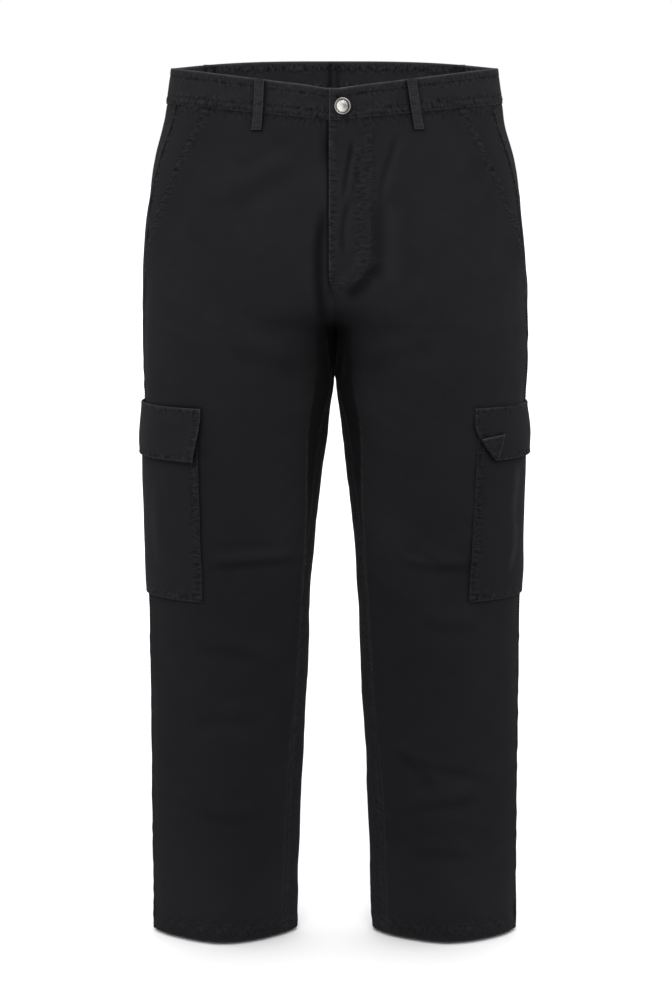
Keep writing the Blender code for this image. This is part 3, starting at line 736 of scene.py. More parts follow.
def along_edge(cloth, edge, offset, margin, high, low):
    """The line at a distance from one of the cloth's edges, between two heights, as points and normals.

    margin is how far short of the cloth's other edges it stops."""
    surface = cloth.surface()
    normals = cloth.normals(surface)
    distance = getattr(cloth, edge)
    if edge in ("top", "foot"):
        surface, normals, distance = surface.transpose(1, 0, 2), normals.transpose(1, 0, 2), distance.T
    if edge in ("last", "foot"):
        surface, normals, distance = surface[:, ::-1], normals[:, ::-1], distance[:, ::-1]
    points = np.array([read_at(row, gaps, offset) for row, gaps in zip(surface, distance)])
    outs = np.array([read_at(out, gaps, offset) for out, gaps in zip(normals, distance)])
    lengths = run_lengths(points)
    at = np.arange(margin, lengths[-1] - margin, LINE_STEP)
    points, outs = read_at(points, lengths, at), read_at(outs, lengths, at)
    kept = (points[:, 2] < high) & (points[:, 2] > low)
    return points[kept], outs[kept]


def on_front(tree, path):
    """A line on a piece's front, from points given as (x, height)."""
    points, outs = [], []
    for x, z in path:
        place, normal, _, _ = tree.ray_cast(Vector((x, -1.0, z)), Vector((0, 1, 0)))
        if place is not None:
            points.append(place[:])
            outs.append(normal[:])
    return np.array(points), np.array(outs)


def stitch_row(points, outs):
    """Stitches along a line: their middles, ways, out directions and half lengths."""
    lengths = run_lengths(points)
    at = np.arange(STITCH_PITCH / 2, lengths[-1] - STITCH / 2, STITCH_PITCH)
    ways = read_at(points, lengths, at + STITCH / 2) - read_at(points, lengths, at - STITCH / 2)
    return read_at(points, lengths, at), ways, read_at(outs, lengths, at), np.full(len(at), STITCH / 2)


def bar_tack(cloth, across, down, way, length):
    """A short bar of close stitches. across and down are from the first and top edges, or from the last
    and foot edges where they are negative."""
    sideways = cloth.first - across if across > 0 else cloth.last + across
    downward = cloth.top - down if down > 0 else cloth.foot + down
    i, j = np.unravel_index(np.argmin(sideways**2 + downward**2), sideways.shape)
    surface = cloth.surface()
    out = cloth.normals(surface)[i, j]
    along = surface[i, min(j + 2, surface.shape[1] - 1)] - surface[i, max(j - 2, 0)]
    along = unit(along if way == "across" else np.cross(along, out))
    places = np.arange(-length / 2, length / 2, TACK_PITCH)
    middles = surface[i, j] + along * places[:, None] + out * TACK_RAISED
    count = len(places)
    beside = np.tile(np.cross(along, out), (count, 1))
    return middles, beside, np.tile(out, (count, 1)), np.full(count, TACK_HALF)


def stitches_mesh(name, rows):
    """Short round threads, their ends sunk into the cloth."""
    middles, ways, outs, halves = (np.concatenate(parts) for parts in zip(*rows))
    ways = unit(ways)
    outs = unit(outs - ways * (outs * ways).sum(axis=1, keepdims=True))
    besides = np.cross(ways, outs)
    sides = STITCH_SIDES
    angles = np.arange(sides) * 2 * math.pi / sides
    round_way = besides[:, None] * np.cos(angles)[:, None] + outs[:, None] * np.sin(angles)[:, None]
    rings = []
    for along, fat, high in STITCH_RINGS:
        centre = middles + ways * along * halves[:, None] + outs * high * THREAD
        rings.append(centre[:, None] + round_way * THREAD * fat)
    points = np.stack(rings, axis=1).reshape(-1, 3)
    quads = []
    for ring in range(len(STITCH_RINGS) - 1):
        a, b = ring * sides, (ring + 1) * sides
        quads += [(a + k, b + k, b + (k + 1) % sides, a + (k + 1) % sides) for k in range(sides)]
    last = (len(STITCH_RINGS) - 1) * sides
    faces = []
    for base in range(0, len(points), len(STITCH_RINGS) * sides):
        faces += [tuple(base + corner for corner in quad) for quad in quads]
        faces.append(tuple(base + k for k in range(sides)))
        faces.append(tuple(base + last + k for k in reversed(range(sides))))
    mesh = bpy.data.meshes.new(name)
    mesh.from_pydata(points, [], faces)
    mesh.shade_smooth()
    return mesh


# ---------------------------------------------------------------- materials

class Nodes:
    """Short calls for building a material's nodes."""

    def __init__(self, name):
        self.material = bpy.data.materials.new(name)
        self.material.use_nodes = True
        self.tree = self.material.node_tree
        self.shader = self.tree.nodes["Principled BSDF"]

    def feed(self, socket, value):
        """Links a socket to another one, or sets it to a constant."""
        if isinstance(value, bpy.types.NodeSocket):
            self.tree.links.new(value, socket)
        else:
            socket.default_value = value

    def add(self, kind, *inputs, **values):
        """A node, its properties and sockets set by name, and its first sockets fed in order."""
        node = self.tree.nodes.new("ShaderNode" + kind)
        for key, value in values.items():
            if hasattr(node, key):
                setattr(node, key, value)
            else:
                self.feed(node.inputs[key], value)
        for socket, value in zip(node.inputs, inputs):
            self.feed(socket, value)
        return node

    def math(self, operation, *values):
        return self.add("Math", *values, operation=operation).outputs[0]

    def total(self, *terms):
        """The sum of sockets times their weights."""
        first, *rest = [self.math("MULTIPLY", socket, weight) for socket, weight in terms]
        for term in rest:
            first = self.math("ADD", first, term)
        return first

    def attribute(self, name, output="Fac"):
        return self.add("Attribute", attribute_name=name).outputs[output]

    def place(self):
        return self.add("TexCoord").outputs["Object"]

    def noise(self, vector, scale, detail, roughness=0.5):
        return self.add("TexNoise", vector, Scale=scale, Detail=detail, Roughness=roughness).outputs["Fac"]

    def scale(self, colour, factor):
        return self.add("VectorMath", colour, operation="SCALE", Scale=factor).outputs[0]

    def mix(self, share, a, b):
        node = self.add("Mix", data_type="RGBA")
        for place, value in ((0, share), (6, a), (7, b)):
            self.feed(node.inputs[place], (*value, 1) if isinstance(value, tuple) else value)
        return node.outputs[2]

    def shade(self, **sockets):
        """Feeds the shader's own sockets, named with underscores for spaces."""
        for name, value in sockets.items():
            self.feed(self.shader.inputs[name.replace("_", " ")], value)

    def bump(self, height, strength=1.0, distance=1.0):
        return self.add("Bump", Height=height, Strength=strength, Distance=distance).outputs[0]


TWILL_DARK, TWILL_LIGHT = (0.0060, 0.0060, 0.0068), (0.0104, 0.0104, 0.0115)
# the pale colour of rubbed wear, also used for painted highlights
TWILL_WORN_AND_HIGHLIGHT = (0.050, 0.050, 0.054)
PUCKER_SIZES = ((0.0032, 0.0062, 1.0), (0.0075, 0.0034, 1.0))  # of fine puckers, at seams across and down
THREAD_DARK, THREAD_LIGHT = (0.0080, 0.0080, 0.0090), (0.0190, 0.0190, 0.0208)
METAL_DARK, METAL_BRIGHT = (0.024, 0.022, 0.021), (0.66, 0.64, 0.61)


def twill_material():
    """Charcoal cotton twill: fine diagonal ribs, a faint heather, puckers by its seams and rubbed edges. Its
    colour carries painted light and shade, and its puckers have painted light on crests and shade in
    troughs.
    """
    made = Nodes("charcoal_twill")
    weave = made.attribute("weave", "Vector")
    x, y = made.add("SeparateXYZ", weave).outputs[:2]
    slope = made.math("ADD", x, made.math("MULTIPLY", y, RIB_SLOPE))
    rib = made.math("SINE", made.math("MULTIPLY", slope, 2 * math.pi / RIB_PITCH))
    yarn = made.math("SINE", made.math("MULTIPLY", y, 2 * math.pi / YARN_PITCH))
    where = made.place()
    broad, patch = made.noise(where, 11, 4, 0.6), made.noise(where, 75, 4, 0.6)
    heather = made.noise(where, 850, 2)
    tone = made.total((broad, 0.45), (patch, 0.25), (heather, 0.30))
    # the tone read from the mesh holds painted light and shade as well as the cloth's own
    colour = made.scale(made.mix(tone, TWILL_DARK, TWILL_LIGHT), made.attribute("dye"))

    near = made.add("SeparateXYZ", made.attribute("pucker", "Vector")).outputs
    folds = []
    for channel, size in enumerate(PUCKER_SIZES):
        stretched = made.add("VectorMath", weave, size, operation="DIVIDE").outputs[0]
        wave = made.math("SUBTRACT", made.noise(stretched, 1.0, 1), 0.5)
        folds.append(made.math("MULTIPLY", wave, near[channel]))
    fold = made.math("ADD", *folds)
    # painted light on the fine puckers' crests and painted shade in their troughs
    colour = made.scale(colour, made.math("ADD", made.math("MULTIPLY", fold, 3.0), 1.0))

    # rubbed wear, and painted highlights on the pockets' streaks, pale the colour
    rubbed = made.math("MULTIPLY", made.attribute("wear"), made.math("MULTIPLY", patch, 1.9))
    colour = made.mix(made.math("MINIMUM", rubbed, 1.0), colour, TWILL_WORN_AND_HIGHLIGHT)
    height = made.total(
        (rib, 0.000035), (yarn, 0.000012), (heather, 0.00010), (patch, 0.00035), (fold, 0.0042)
    )
    made.shade(Base_Color=colour, Roughness=0.92, Specular_IOR_Level=0.03, Normal=made.bump(height))
    made.shade(Sheen_Weight=0.012, Sheen_Roughness=0.55, Sheen_Tint=(0.75, 0.78, 0.85, 1))
    return made.material


def thread_material():
    made = Nodes("thread")
    noise = made.noise(made.place(), 260, 2)
    made.shade(Base_Color=made.mix(noise, THREAD_DARK, THREAD_LIGHT), Roughness=0.8)
    made.shade(Specular_IOR_Level=0.08, Sheen_Weight=0.02, Normal=made.bump(noise, 0.5, 0.0001))
    return made.material


def metal_material():
    """Worn nickel, a little hammered, darkened in its groove, with painted shade on one side of its dome."""
    made = Nodes("button_metal")
    dents = made.noise(made.place(), 780, 3, 0.6)
    tone = made.math("MULTIPLY", made.math("SUBTRACT", dents, 0.5), 0.85)
    tone = made.math("ADD", made.attribute("tone"), tone)
    tone = made.math("MAXIMUM", made.math("MINIMUM", tone, 1.0), 0.0)
    rough = made.math("ADD", made.math("MULTIPLY", dents, 0.25), 0.22)
    bump = made.bump(made.math("MULTIPLY", dents, 0.00035))
    colour = made.mix(tone, METAL_DARK, METAL_BRIGHT)
    made.shade(Base_Color=colour, Metallic=1.0, Roughness=rough, Normal=bump)
    return made.material


twill = twill_material()
thread = thread_material()
metal = metal_material()


# ---------------------------------------------------------------- what is done along the edges

# In these tables a part's name stands for both sides, several edges are worked in the order given, and a
# stretch is one of those in stretches_of. Lengths are in millimetres.
FELLS = (
    # part, edges, width and height of the extra layers of a seam allowance, stretch
    ("front", "last", 10.5, 0.5, "mouth"),
    ("front", "first", 8.5, 0.6, "leg"),
    ("front", "foot", 21.0, 0.4, "all"),
    ("back", "first", 8.5, 0.6, "all"),
    ("back", "last", 8.5, 0.6, "seat"),
    ("back", "foot", 21.0, 0.4, "all"),
    ("pocket", "first last foot", 9.5, 0.2, "all"),
)
GROOVES = (
    # part, edges, distance, depth, width, shade, stretch
    ("front", "last", 1.8, 0.3, 1.0, 0.12, "mouth"),
    ("front", "last", 8.2, 0.4, 1.2, 0.12, "mouth"),
    ("front", "first", 1.8, 0.3, 1.0, 0.12, "leg"),
    ("front", "foot", 20.3, 0.35, 1.2, 0.12, "all"),
    ("back", "first", 7.0, 0.4, 1.0, 0.12, "all"),
    ("back", "last", 7.0, 0.4, 1.0, 0.12, "seat"),
    ("back", "foot", 20.3, 0.35, 1.2, 0.12, "all"),
    ("pocket", "first last foot", 1.7, 0.25, 0.9, 0.12, "all"),
    ("pocket", "first last foot", 8.3, 0.4, 1.2, 0.12, "all"),
    ("flap", "first last foot top", 6.0, 0.4, 1.2, 0.12, "all"),
    ("corner", "top last", 5.5, 0.4, 1.0, 0.12, "all"),
    ("waistband", "top", 9.0, 0.4, 1.0, 0.30, "all"),
    ("waistband", "foot", 9.2, 0.4, 1.0, 0.30, "all"),
    ("waistband", "foot", 2.2, 0.4, 1.0, 0.30, "all"),
    ("loop", "first last", 2.0, 0.3, 0.8, 0.12, "all"),
)
PUCKERS = (
    # part, edges, distance, seed of the first edge, spacing, depth, width, slant, fine, stretch
    ("front", "top", 0, 5, 8.0, 0.4, 9.0, 0, 0.75, "all"),
    ("front", "last", 5, 6, 7.5, 0.4, 7.5, 0.9, 0.85, "mouth"),
    ("front", "last", 0, 7, 12.0, 0.4, 8.0, 0, 0.6, "outseam"),
    ("front", "first", 3, 8, 10.0, 0.6, 9.0, 0, 0.6, "leg"),
    ("front", "foot", 14, 9, 8.5, 0.5, 12.0, 0.8, 0.45, "all"),
    ("back", "top", 0, 5, 8.0, 0.4, 9.0, 0, 0.75, "all"),
    ("back", "first", 3, 6, 11.0, 0.5, 8.0, 0, 0.6, "all"),
    ("back", "last", 0, 7, 13.0, 0.35, 7.0, 0, 0.3, "leg"),
    ("back", "last", 4, 8, 9.0, 0.6, 8.0, 0, 1.0, "seat"),
    ("back", "foot", 14, 9, 8.5, 0.5, 12.0, 0.8, 0.45, "all"),
    ("facing", "last", 0, 0, 10.0, 0.4, 7.0, 0, 1.0, "all"),
    ("facing", "top", 0, 1, 8.0, 0.5, 10.0, 0, 1.0, "all"),
    ("pocket", "first last foot", 5, 1, 8.5, 0.4, 6.5, 0.7, 0.8, "all"),
    ("flap", "first last foot top", 3, 1, 9.0, 0.4, 6.0, 0.6, 0.9, "all"),
    ("waistband", "top", 9.0, 1, 7.0, 0.3, 5.5, 0.5, 0.85, "all"),
    ("waistband", "foot", 9.2, 2, 7.0, 0.3, 5.5, 0.5, 0.85, "all"),
    ("waistband", "foot", 2.2, 3, 7.0, 0.3, 5.5, 0.5, 0.85, "all"),
)
SHADES = (
    # part, nodes that lie on it, strength, reach, share on the sides that face outward
    ("front", "belt_loop_front_{side}", 0.6, 3.0, 0.5),
    ("back", "belt_loop_back_{side} belt_loop_centre_back", 0.6, 3.0, 0.5),
    ("front", "{side}_cargo_pocket", 0.30, 1.6, 1.0),
    ("back", "{side}_cargo_pocket", 0.30, 1.6, 1.0),
    ("front", "{side}_cargo_flap", 0.45, 3.0, 1.0),
    ("back", "{side}_cargo_flap", 0.45, 3.0, 1.0),
    ("pocket", "{side}_cargo_flap", 0.55, 3.2, 1.0),
    ("left_flap", "left_flap_corner", 0.55, 2.8, 1.0),
    ("waistband", " ".join(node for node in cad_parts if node.startswith("belt_loop")), 0.72, 3.2, 0.5),
)


def part_of(key):
    """The part that a cloth is, on either side."""
    return "loop" if key.startswith("belt_loop") else key.partition("_")[2] or key


def rows_for(key, table):
    return [row for part, *row in table if part in (key, part_of(key))]


def stretches_of(cloth):
    """Shares of the cloth for each stretch that the tables name."""
    z = cloth.points[..., 2]
    mouth = ramp(z, MOUTH_FOOT - 0.004, MOUTH_FOOT + 0.004)
    leg = ramp(z, CROTCH, CROTCH - 0.03)
    return {"all": 1.0, "mouth": mouth, "outseam": 1 - mouth, "leg": leg, "seat": 1 - leg}


def work_edges(cloth, key, seed):
    stretches = stretches_of(cloth)
    for edges, width, height, stretch in rows_for(key, FELLS):
        for edge in edges.split():
            past = ramp(getattr(cloth, edge), width * MM - 0.0008, width * MM + 0.0010)
            cloth.lift += height * MM * (1 - past) * stretches[stretch]
    for edges, at, depth, width, shade, stretch in rows_for(key, GROOVES):
        for edge in edges.split():
            distance = getattr(cloth, edge) - at * MM
            add_groove(cloth, distance, depth * MM, width * MM, stretches[stretch], shade)
    for edges, at, number, spacing, depth, width, slant, fine, stretch in rows_for(key, PUCKERS):
        for k, edge in enumerate(edges.split()):
            along, way = (cloth.first, "h") if edge in ("top", "foot") else (cloth.top, "v")
            sizes = (spacing * MM, depth * MM, width * MM)
            distance = getattr(cloth, edge) - at * MM
            where = stretches[stretch]
            add_puckers(cloth, distance, along, seed + number + k, *sizes, where, slant, way, fine)
    for nodes, strength, reach, outward in rows_for(key, SHADES):
        nodes = nodes.format(side=key.partition("_")[0]).split()
        shade_beside(cloth, nodes, strength, reach * MM, outward)


# ---------------------------------------------------------------- what each cloth has of its own

# In millimetres from the centre plane and up
J_STITCH = (
    (44, -52), (44.2, -110), (44, -160), (43.2, -205), (40.5, -224), (33.5, -238), (21.5, -246), (6, -248.5),
)
# The path of painted shade along the fold beside the fly
FLY_TROUGH_SHADE = ((9.5, -146), (13.8, -168), (16.8, -195), (17.8, -225), (15.5, -268), (11.5, -305))

# The strip inside each leg, behind the inseam: its tone, which is painted shade up high and painted light
# low down, how wide it shows from the front, and how pale the rubbed line at its seam is. Heights and widths
# are in millimetres.
INSEAM_STRIP = (
    # height, tone, width, rubbed
    (0, 1.00, 20.0, 0.00), (-285, 1.00, 20.0, 0.00), (-310, 0.62, 20.0, 0.00), (-345, 0.46, 20.0, 0.00),
    (-383, 0.42, 18.5, 0.04), (-441, 0.42, 14.0, 0.12), (-478, 0.46, 10.5, 0.18), (-514, 0.62, 7.2, 0.20),
    (-574, 0.95, 4.2, 0.18), (-623, 1.02, 4.5, 0.12), (-744, 1.04, 5.0, 0.10), (-841, 1.10, 8.5, 0.09),
    (-930, 1.13, 9.5, 0.08), (-1050, 1.15, 9.8, 0.08),
)


def panel_light_and_shade(cloth, part):
    """Painted light and shade: the cloth is paler at the hips and outer legs and darker low down and inside.
    """
    own, z = cloth.own_places()
    seam, outer = (cloth.first, cloth.last) if part == "front" else (cloth.last, cloth.first)
    # painted light: paler up towards the hips, and a little paler again just above the hem
    cloth.dye *= 0.79 + 0.25 * ramp(z, -0.62, -0.12) + 0.15 * ramp(z, -0.90, -1.00)
    width = (cloth.first + cloth.last)[:, :1]
    # painted shade inside the leg, towards the inseam, from the crotch down
    inside = 1 - ramp(seam / width, -0.05, 0.75)
    cloth.dye *= 1 - 0.22 * ramp(z, -0.24, -0.36) * inside
    heights, *columns = zip(*INSEAM_STRIP[::-1])
    tone, width, rubbed = (np.interp(z / MM, heights, column) for column in columns)
    width *= MM
    if part == "front":
        shown = own - own.min(axis=1, keepdims=True)
        shown = np.where(np.arange(own.shape[1]) > own.argmin(axis=1)[:, None], shown, 0.0)
        # painted light near the inside of the front, where the leg turns away
        beside = bell(shown, 0.050 - 0.014 * ramp(z, -0.56, -0.62))
        cloth.dye *= 1 + beside * ramp(z, -0.33, -0.38) * (0.55 - 0.22 * ramp(z, -0.54, -0.60))
        # painted shade on the strip by the inseam up high, painted light on it low down
        cloth.dye *= tone + (1 - tone) * ramp(shown, width - 0.0012, width + 0.0008)
        cloth.wear += rubbed * bell(shown - width - 0.0004, 0.0008) * (shown > 0)
        cloth.dye *= 1 - 0.30 * ramp(z, -0.66, -0.74) * bell(seam, 0.0012)
    else:
        # painted light on the back beside the inseam low down, painted shade on it up high
        painted_light_back = 0.52 * ramp(z, -0.56, -0.66) * bell(seam, 0.018)
        cloth.dye *= 1 + painted_light_back - np.maximum(1 - tone, 0) * bell(seam, 0.03)
    # painted shade between the legs under the crotch
    fork_shade = 0.58 * ramp(z, -0.262, -0.298) * bell(own, 0.013 + 0.007 * ramp(z, -0.28, -0.33))
    fork_shade = fork_shade + 0.30 * ramp(z, -0.225, -0.310) * bell(own, 0.055)
    cloth.dye *= 1 - fork_shade * ramp(z, -0.58, -0.40)
    if cloth.sign > 0:  # this thigh stands a little fuller
        cloth.lift += 0.0026 * bell(z + 0.325, 0.075) * bell(outer, 0.06)


def add_fly(cloth, side):
    """The fly's facing shows as a low raised area inside the J of stitches, puckered along it."""
    x, z = cloth.own_places()
    near = z > FLY_FOOT - 0.004
    if side == "left":
        gap, share = path_distance(x, z, bowed(J_STITCH, 40))
        cloth.lift += FLY_FACING * ramp(-gap, 0.0, 0.003) * near * (gap < 0)
        add_groove(cloth, gap, 0.0005, 0.0013, near)
        add_puckers(cloth, gap + 0.004, share * 0.24, 31, 0.0085, 0.0004, 0.0065, near, 0.5, fine=0.55)
        edge_wear = np.exp(-cloth.first / EDGE_WEAR_DEPTH)
        cloth.wear += 0.35 * edge_wear * ramp(z, FLY_FOOT + 0.004, FLY_FOOT + 0.020)
        strip = ramp(z, -0.236, -0.215) * ramp(z, -0.075, -0.095)
        add_puckers(cloth, x - 0.0285, cloth.top, 33, 0.0050, 0.0004, 0.0070, strip, 0.4, fine=0.65)
        add_puckers(cloth, cloth.first - 0.003, cloth.top, 35, 0.0045, 0.0003, 0.0050, near, 0.2, fine=0.8)
    else:
        beside = np.maximum(x - FLY_LAP, 0.0)
        # painted shadow in a dent beside the left front's lap, and painted shade in a dent near its top
        groove = bell(beside, 0.0019) * ramp(z, FLY_FOOT - 0.03, FLY_FOOT + 0.02)
        dent_shade = bell(beside, 0.0085) * bell(z + 0.089, 0.024)
        cloth.lift -= 0.0010 * groove + 0.0008 * dent_shade
        cloth.dye *= (1 - 0.60 * groove) * (1 - 0.58 * dent_shade)
        # painted shade along the fold beside the fly
        gap, share = path_distance(x, z, bowed(FLY_TROUGH_SHADE))
        cloth.dye *= 1 - 0.42 * bell(gap, 0.0062) * ramp(share, 0, 0.25) * ramp(share, 1, 0.85)
    edge = near * ramp(z, FLY_FOOT, FLY_FOOT + 0.01)
    add_puckers(cloth, cloth.first, cloth.top, 37, 0.012, 0.0004, 0.008, edge)


FLAP_CURL = 0.0026  # how far the right flap's front corner stands off


def work_panel(cloth, side, part, seed):
    add_creases(cloth, f"{side}_{part}")
    add_rumples(cloth, seed, 0.0018)
    # painted shadow along the top of the panel, under the waistband's lower edge
    cloth.dye *= 1 - 0.34 * bell(cloth.top, 0.0036)
    if part == "front":
        add_fly(cloth, side)
    panel_light_and_shade(cloth, part)


def work_pocket(cloth, side, part, seed):
    add_rumples(cloth, seed, 0.0010)
    add_highlight_streaks(cloth, side)
    cloth.dye *= 0.92 if side == "right" else 0.80


def work_flap(cloth, side, part, seed):
    down = cloth.top
    cloth.lift += 0.0010 * rumple(cloth.first, down, seed, 0.035, 0.030) * ramp(down, 0, 0.02)
    if side == "right":
        cloth.lift += FLAP_CURL * bell(cloth.first, 0.016) * ramp(down / down[-1:], 0.2, 0.9)
    else:
        cloth.dye *= 0.87


def work_corner(cloth, side, part, seed):
    cloth.lift += 0.0007 * rumple(cloth.first, cloth.top, seed, 0.010, 0.012)
    cloth.pucker[..., 1] = 0.6


def work_band(cloth, side, part, seed):
    cloth.lift += 0.0004 * bell(cloth.foot - 0.0055, 0.0022)
    cloth.dye *= 1.22 + 0.09 * rumple(cloth.first, cloth.top, seed + 11, 0.016, 0.009)


def work_loop(cloth, side, part, seed):
    cloth.lift += 0.0003 * ripple(cloth.top, seed, 0.006)
    cloth.pucker[..., 1] = 0.40
    cloth.dye *= 1.72


PANEL_REACH = (TUCK, SEAM_REACH, SEAM_REACH)
PARTS = {
    # node's name after its side, its own work, seeds left and right, spacing down and across, smoothing
    # passes, reach, offsets, wall, wall at the foot, dye inside, wear by edge
    "front": (
        "front", work_panel, (100, 200), (0.0021, 0.0023), 8, PANEL_REACH, EDGE_OFFSETS,
        TWILL_WALL, HEM_WALL, 1.0, {"foot": 0.25},
    ),
    "back": (
        "back", work_panel, (300, 400), (0.0022, 0.0026), 8, PANEL_REACH, EDGE_OFFSETS,
        TWILL_WALL, HEM_WALL, 1.0, {"foot": 0.25},
    ),
    "facing": (
        "pocket_facing", None, (500, 550), (0.0020, 0.0020), 4, (TUCK, 0, SEAM_REACH), EDGE_OFFSETS,
        TWILL_WALL, TWILL_WALL, 1.0, {},
    ),
    "pocket": (
        "cargo_pocket", work_pocket, (600, 650), (0.0021, 0.0021), 4, (0, 0, 0), CLOSE_OFFSETS,
        TWILL_WALL, TWILL_WALL, 1.0, {"first": 0.04, "last": 0.04, "foot": 0.12},
    ),
    "flap": (
        "cargo_flap", work_flap, (700, 750), (0.0016, 0.0020), 3, (0, 0, 0), CLOSE_OFFSETS,
        FOLDED_WALL, FOLDED_WALL, 1.0, {"top": 0.40, "first": 0.18, "last": 0.18, "foot": 0.16},
    ),
    "corner": (
        "flap_corner", work_corner, (790, 790), (0.0012, 0.0012), 2, (0, 0, 0), EDGE_OFFSETS,
        FOLDED_WALL, FOLDED_WALL, 1.0, {"top": 0.60, "first": 0.12, "last": 0.34},
    ),
    "waistband": (
        "", work_band, (800, 800), (0.0014, 0.0022), 1, (0, 0, 0), CLOSE_OFFSETS,
        BAND_WALL, BAND_WALL, 1.6, {"top": 0.9, "first": 0.5, "foot": 0.22},
    ),
    "loop": (
        "", work_loop, (61, 61), (0.0012, 0.0011), 1, (0, 0, 0), EDGE_OFFSETS,
        LOOP_WALL, LOOP_WALL, 1.0, {"first": 0.25, "last": 0.25, "foot": 0.4},
    ),
}

cloths, cloth_pieces = {}, {}


def build_cloths():
    keys = ["waistband", "left_corner"]
    keys += [f"{side}_{part}" for side in SIDES for part in ("front", "back", "facing", "pocket", "flap")]
    keys += [node for node in sorted(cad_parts) if node.startswith("belt_loop")]
    for key in keys:
        side, part = key.partition("_")[0], part_of(key)
        name, work, seeds, steps, passes, reach, offsets, *shell = PARTS[part]
        node, seed = f"{side}_{name}" if name else key, seeds[side == "right"]
        cloth = fine_cloth(node, steps, passes, reach, offsets)
        if work:
            work(cloth, side, part, seed)
        work_edges(cloth, key, seed)
        cloths[key] = cloth
        mesh = shell_mesh(f"{key}_cloth", cloth, *shell)
        cloth_pieces[key] = add_piece(mesh.name, mesh, twill, "twill", node)


build_cloths()


# ---------------------------------------------------------------- stitches

HIGHEST, LOWEST = 1.0, -2.0
# Rows of stitches, by cloth or part. Offsets and margins are in millimetres. A margin of None is the row's
# own offset, where it turns a corner.
ROWS = (
    # part, edges, offsets, margin, high, low
    ("front", "last", (1.8, 8.2), 2.0, HIGHEST, MOUTH_FOOT),
    ("front", "first", (1.8, 7.4), 6.0, CROTCH - 0.014, LOWEST),
    ("front", "foot", (21.5,), 0.2, HIGHEST, LOWEST),
    ("back", "first", (1.8, 7.0), 2.0, HIGHEST, LOWEST),
    ("back", "foot", (21.5,), 0.2, HIGHEST, LOWEST),
    ("pocket", "first last foot", (1.7, 8.3), None, HIGHEST, LOWEST),
    ("flap", "first last top foot", (1.6, 6.0), None, HIGHEST, LOWEST),
    ("waistband", "top", (7.8,), 2.0, HIGHEST, LOWEST),
    ("waistband", "foot", (2.0, 8.8), 2.0, HIGHEST, LOWEST),
    ("left_front", "first", (2.2,), 3.0, HIGHEST, FLY_FOOT),
    ("left_back", "last", (1.8, 7.0), 2.0, HIGHEST, CROTCH),
    ("corner", "top", (1.6, 5.8), None, HIGHEST, LOWEST),
    ("corner", "last", (1.6,), None, HIGHEST, LOWEST),
    ("loop", "first last", (1.9,), 1.5, HIGHEST, LOWEST),
)
TACKS = (
    # part, across, down, way, length, in millimetres
    ("left_front", 7, 108, "across", 11),
    ("front", -5, 170, "across", 8),
    ("flap", 5, 4.5, "down", 7),
    ("flap", -5, 4.5, "down", 7),
    ("facing", 6, 5, "across", 6),
)
LOOP_TACK, LOOP_TACK_IN = 0.0085, 0.0030
J_INNER, J_SHORTER = 0.91, 0.98  # the inner row of the fly's J: shares of the outer one's reach and height
J_TOP = -0.052


def build_stitches():
    rows = {key: [] for key in cloths}
    for key, cloth in cloths.items():
        for edges, offsets, margin, high, low in rows_for(key, ROWS):
            for edge in edges.split():
                for offset in offsets:
                    short = offset if margin is None else margin
                    line = along_edge(cloth, edge, offset * MM, short * MM, high, low)
                    if len(line[0]) > 4:
                        rows[key].append(stitch_row(*line))
        for across, down, way, length in rows_for(key, TACKS):
            rows[key].append(bar_tack(cloth, across * MM, down * MM, way, length * MM))
        if part_of(key) == "loop":
            for down in (LOOP_TACK_IN, -LOOP_TACK_IN):
                rows[key].append(bar_tack(cloth, cloth.first[0, -1] / 2, down, "across", LOOP_TACK))
    mesh = cloth_pieces["left_front"].data
    tree = BVHTree.FromPolygons([v.co for v in mesh.vertices], [p.vertices for p in mesh.polygons])
    outer = bowed(J_STITCH, 80)
    inner = [(x * J_INNER, J_TOP + (z - J_TOP) * J_SHORTER) for x, z in outer]
    for path in (outer, inner):
        rows["left_front"].append(stitch_row(*on_front(tree, path)))
    made = {}
    for key, found in rows.items():
        if found:
            name = f"{key}_stitches"
            made[key] = add_piece(name, stitches_mesh(name, found), thread, "twill")
    return made


stitch_pieces = build_stitches()


# ---------------------------------------------------------------- button

# The button's turned form, from its centre out and round the rim: shares of its radius and of its height,
# and how bright the metal is
BUTTON_PROFILE = (
    (0.00, 1.00, 0.66), (0.14, 0.99, 0.66), (0.28, 0.965, 0.66), (0.40, 0.93, 0.66), (0.50, 0.89, 0.65),
    (0.60, 0.84, 0.62), (0.68, 0.78, 0.52), (0.74, 0.71, 0.30), (0.77, 0.65, 0.16), (0.80, 0.64, 0.12),
    (0.83, 0.70, 0.24), (0.86, 0.77, 0.36), (0.89, 0.80, 0.40), (0.93, 0.81, 0.40), (0.96, 0.77, 0.36),
    (0.985, 0.70, 0.24), (1.00, 0.58, 0.18), (0.99, 0.48, 0.12), (0.95, 0.38, 0.05), (0.60, 0.32, 0.05),
    (0.34, 0.28, 0.05), (0.30, 0.00, 0.05),
)
BUTTON_TURNS = 96
BUTTON_TURNED = -0.26  # how far its face leans to the wearer's right
BUTTON_SHADED_SIDE = math.radians(200)  # where round its dome the painted shade is darkest
BUTTON_DOME = 0.76


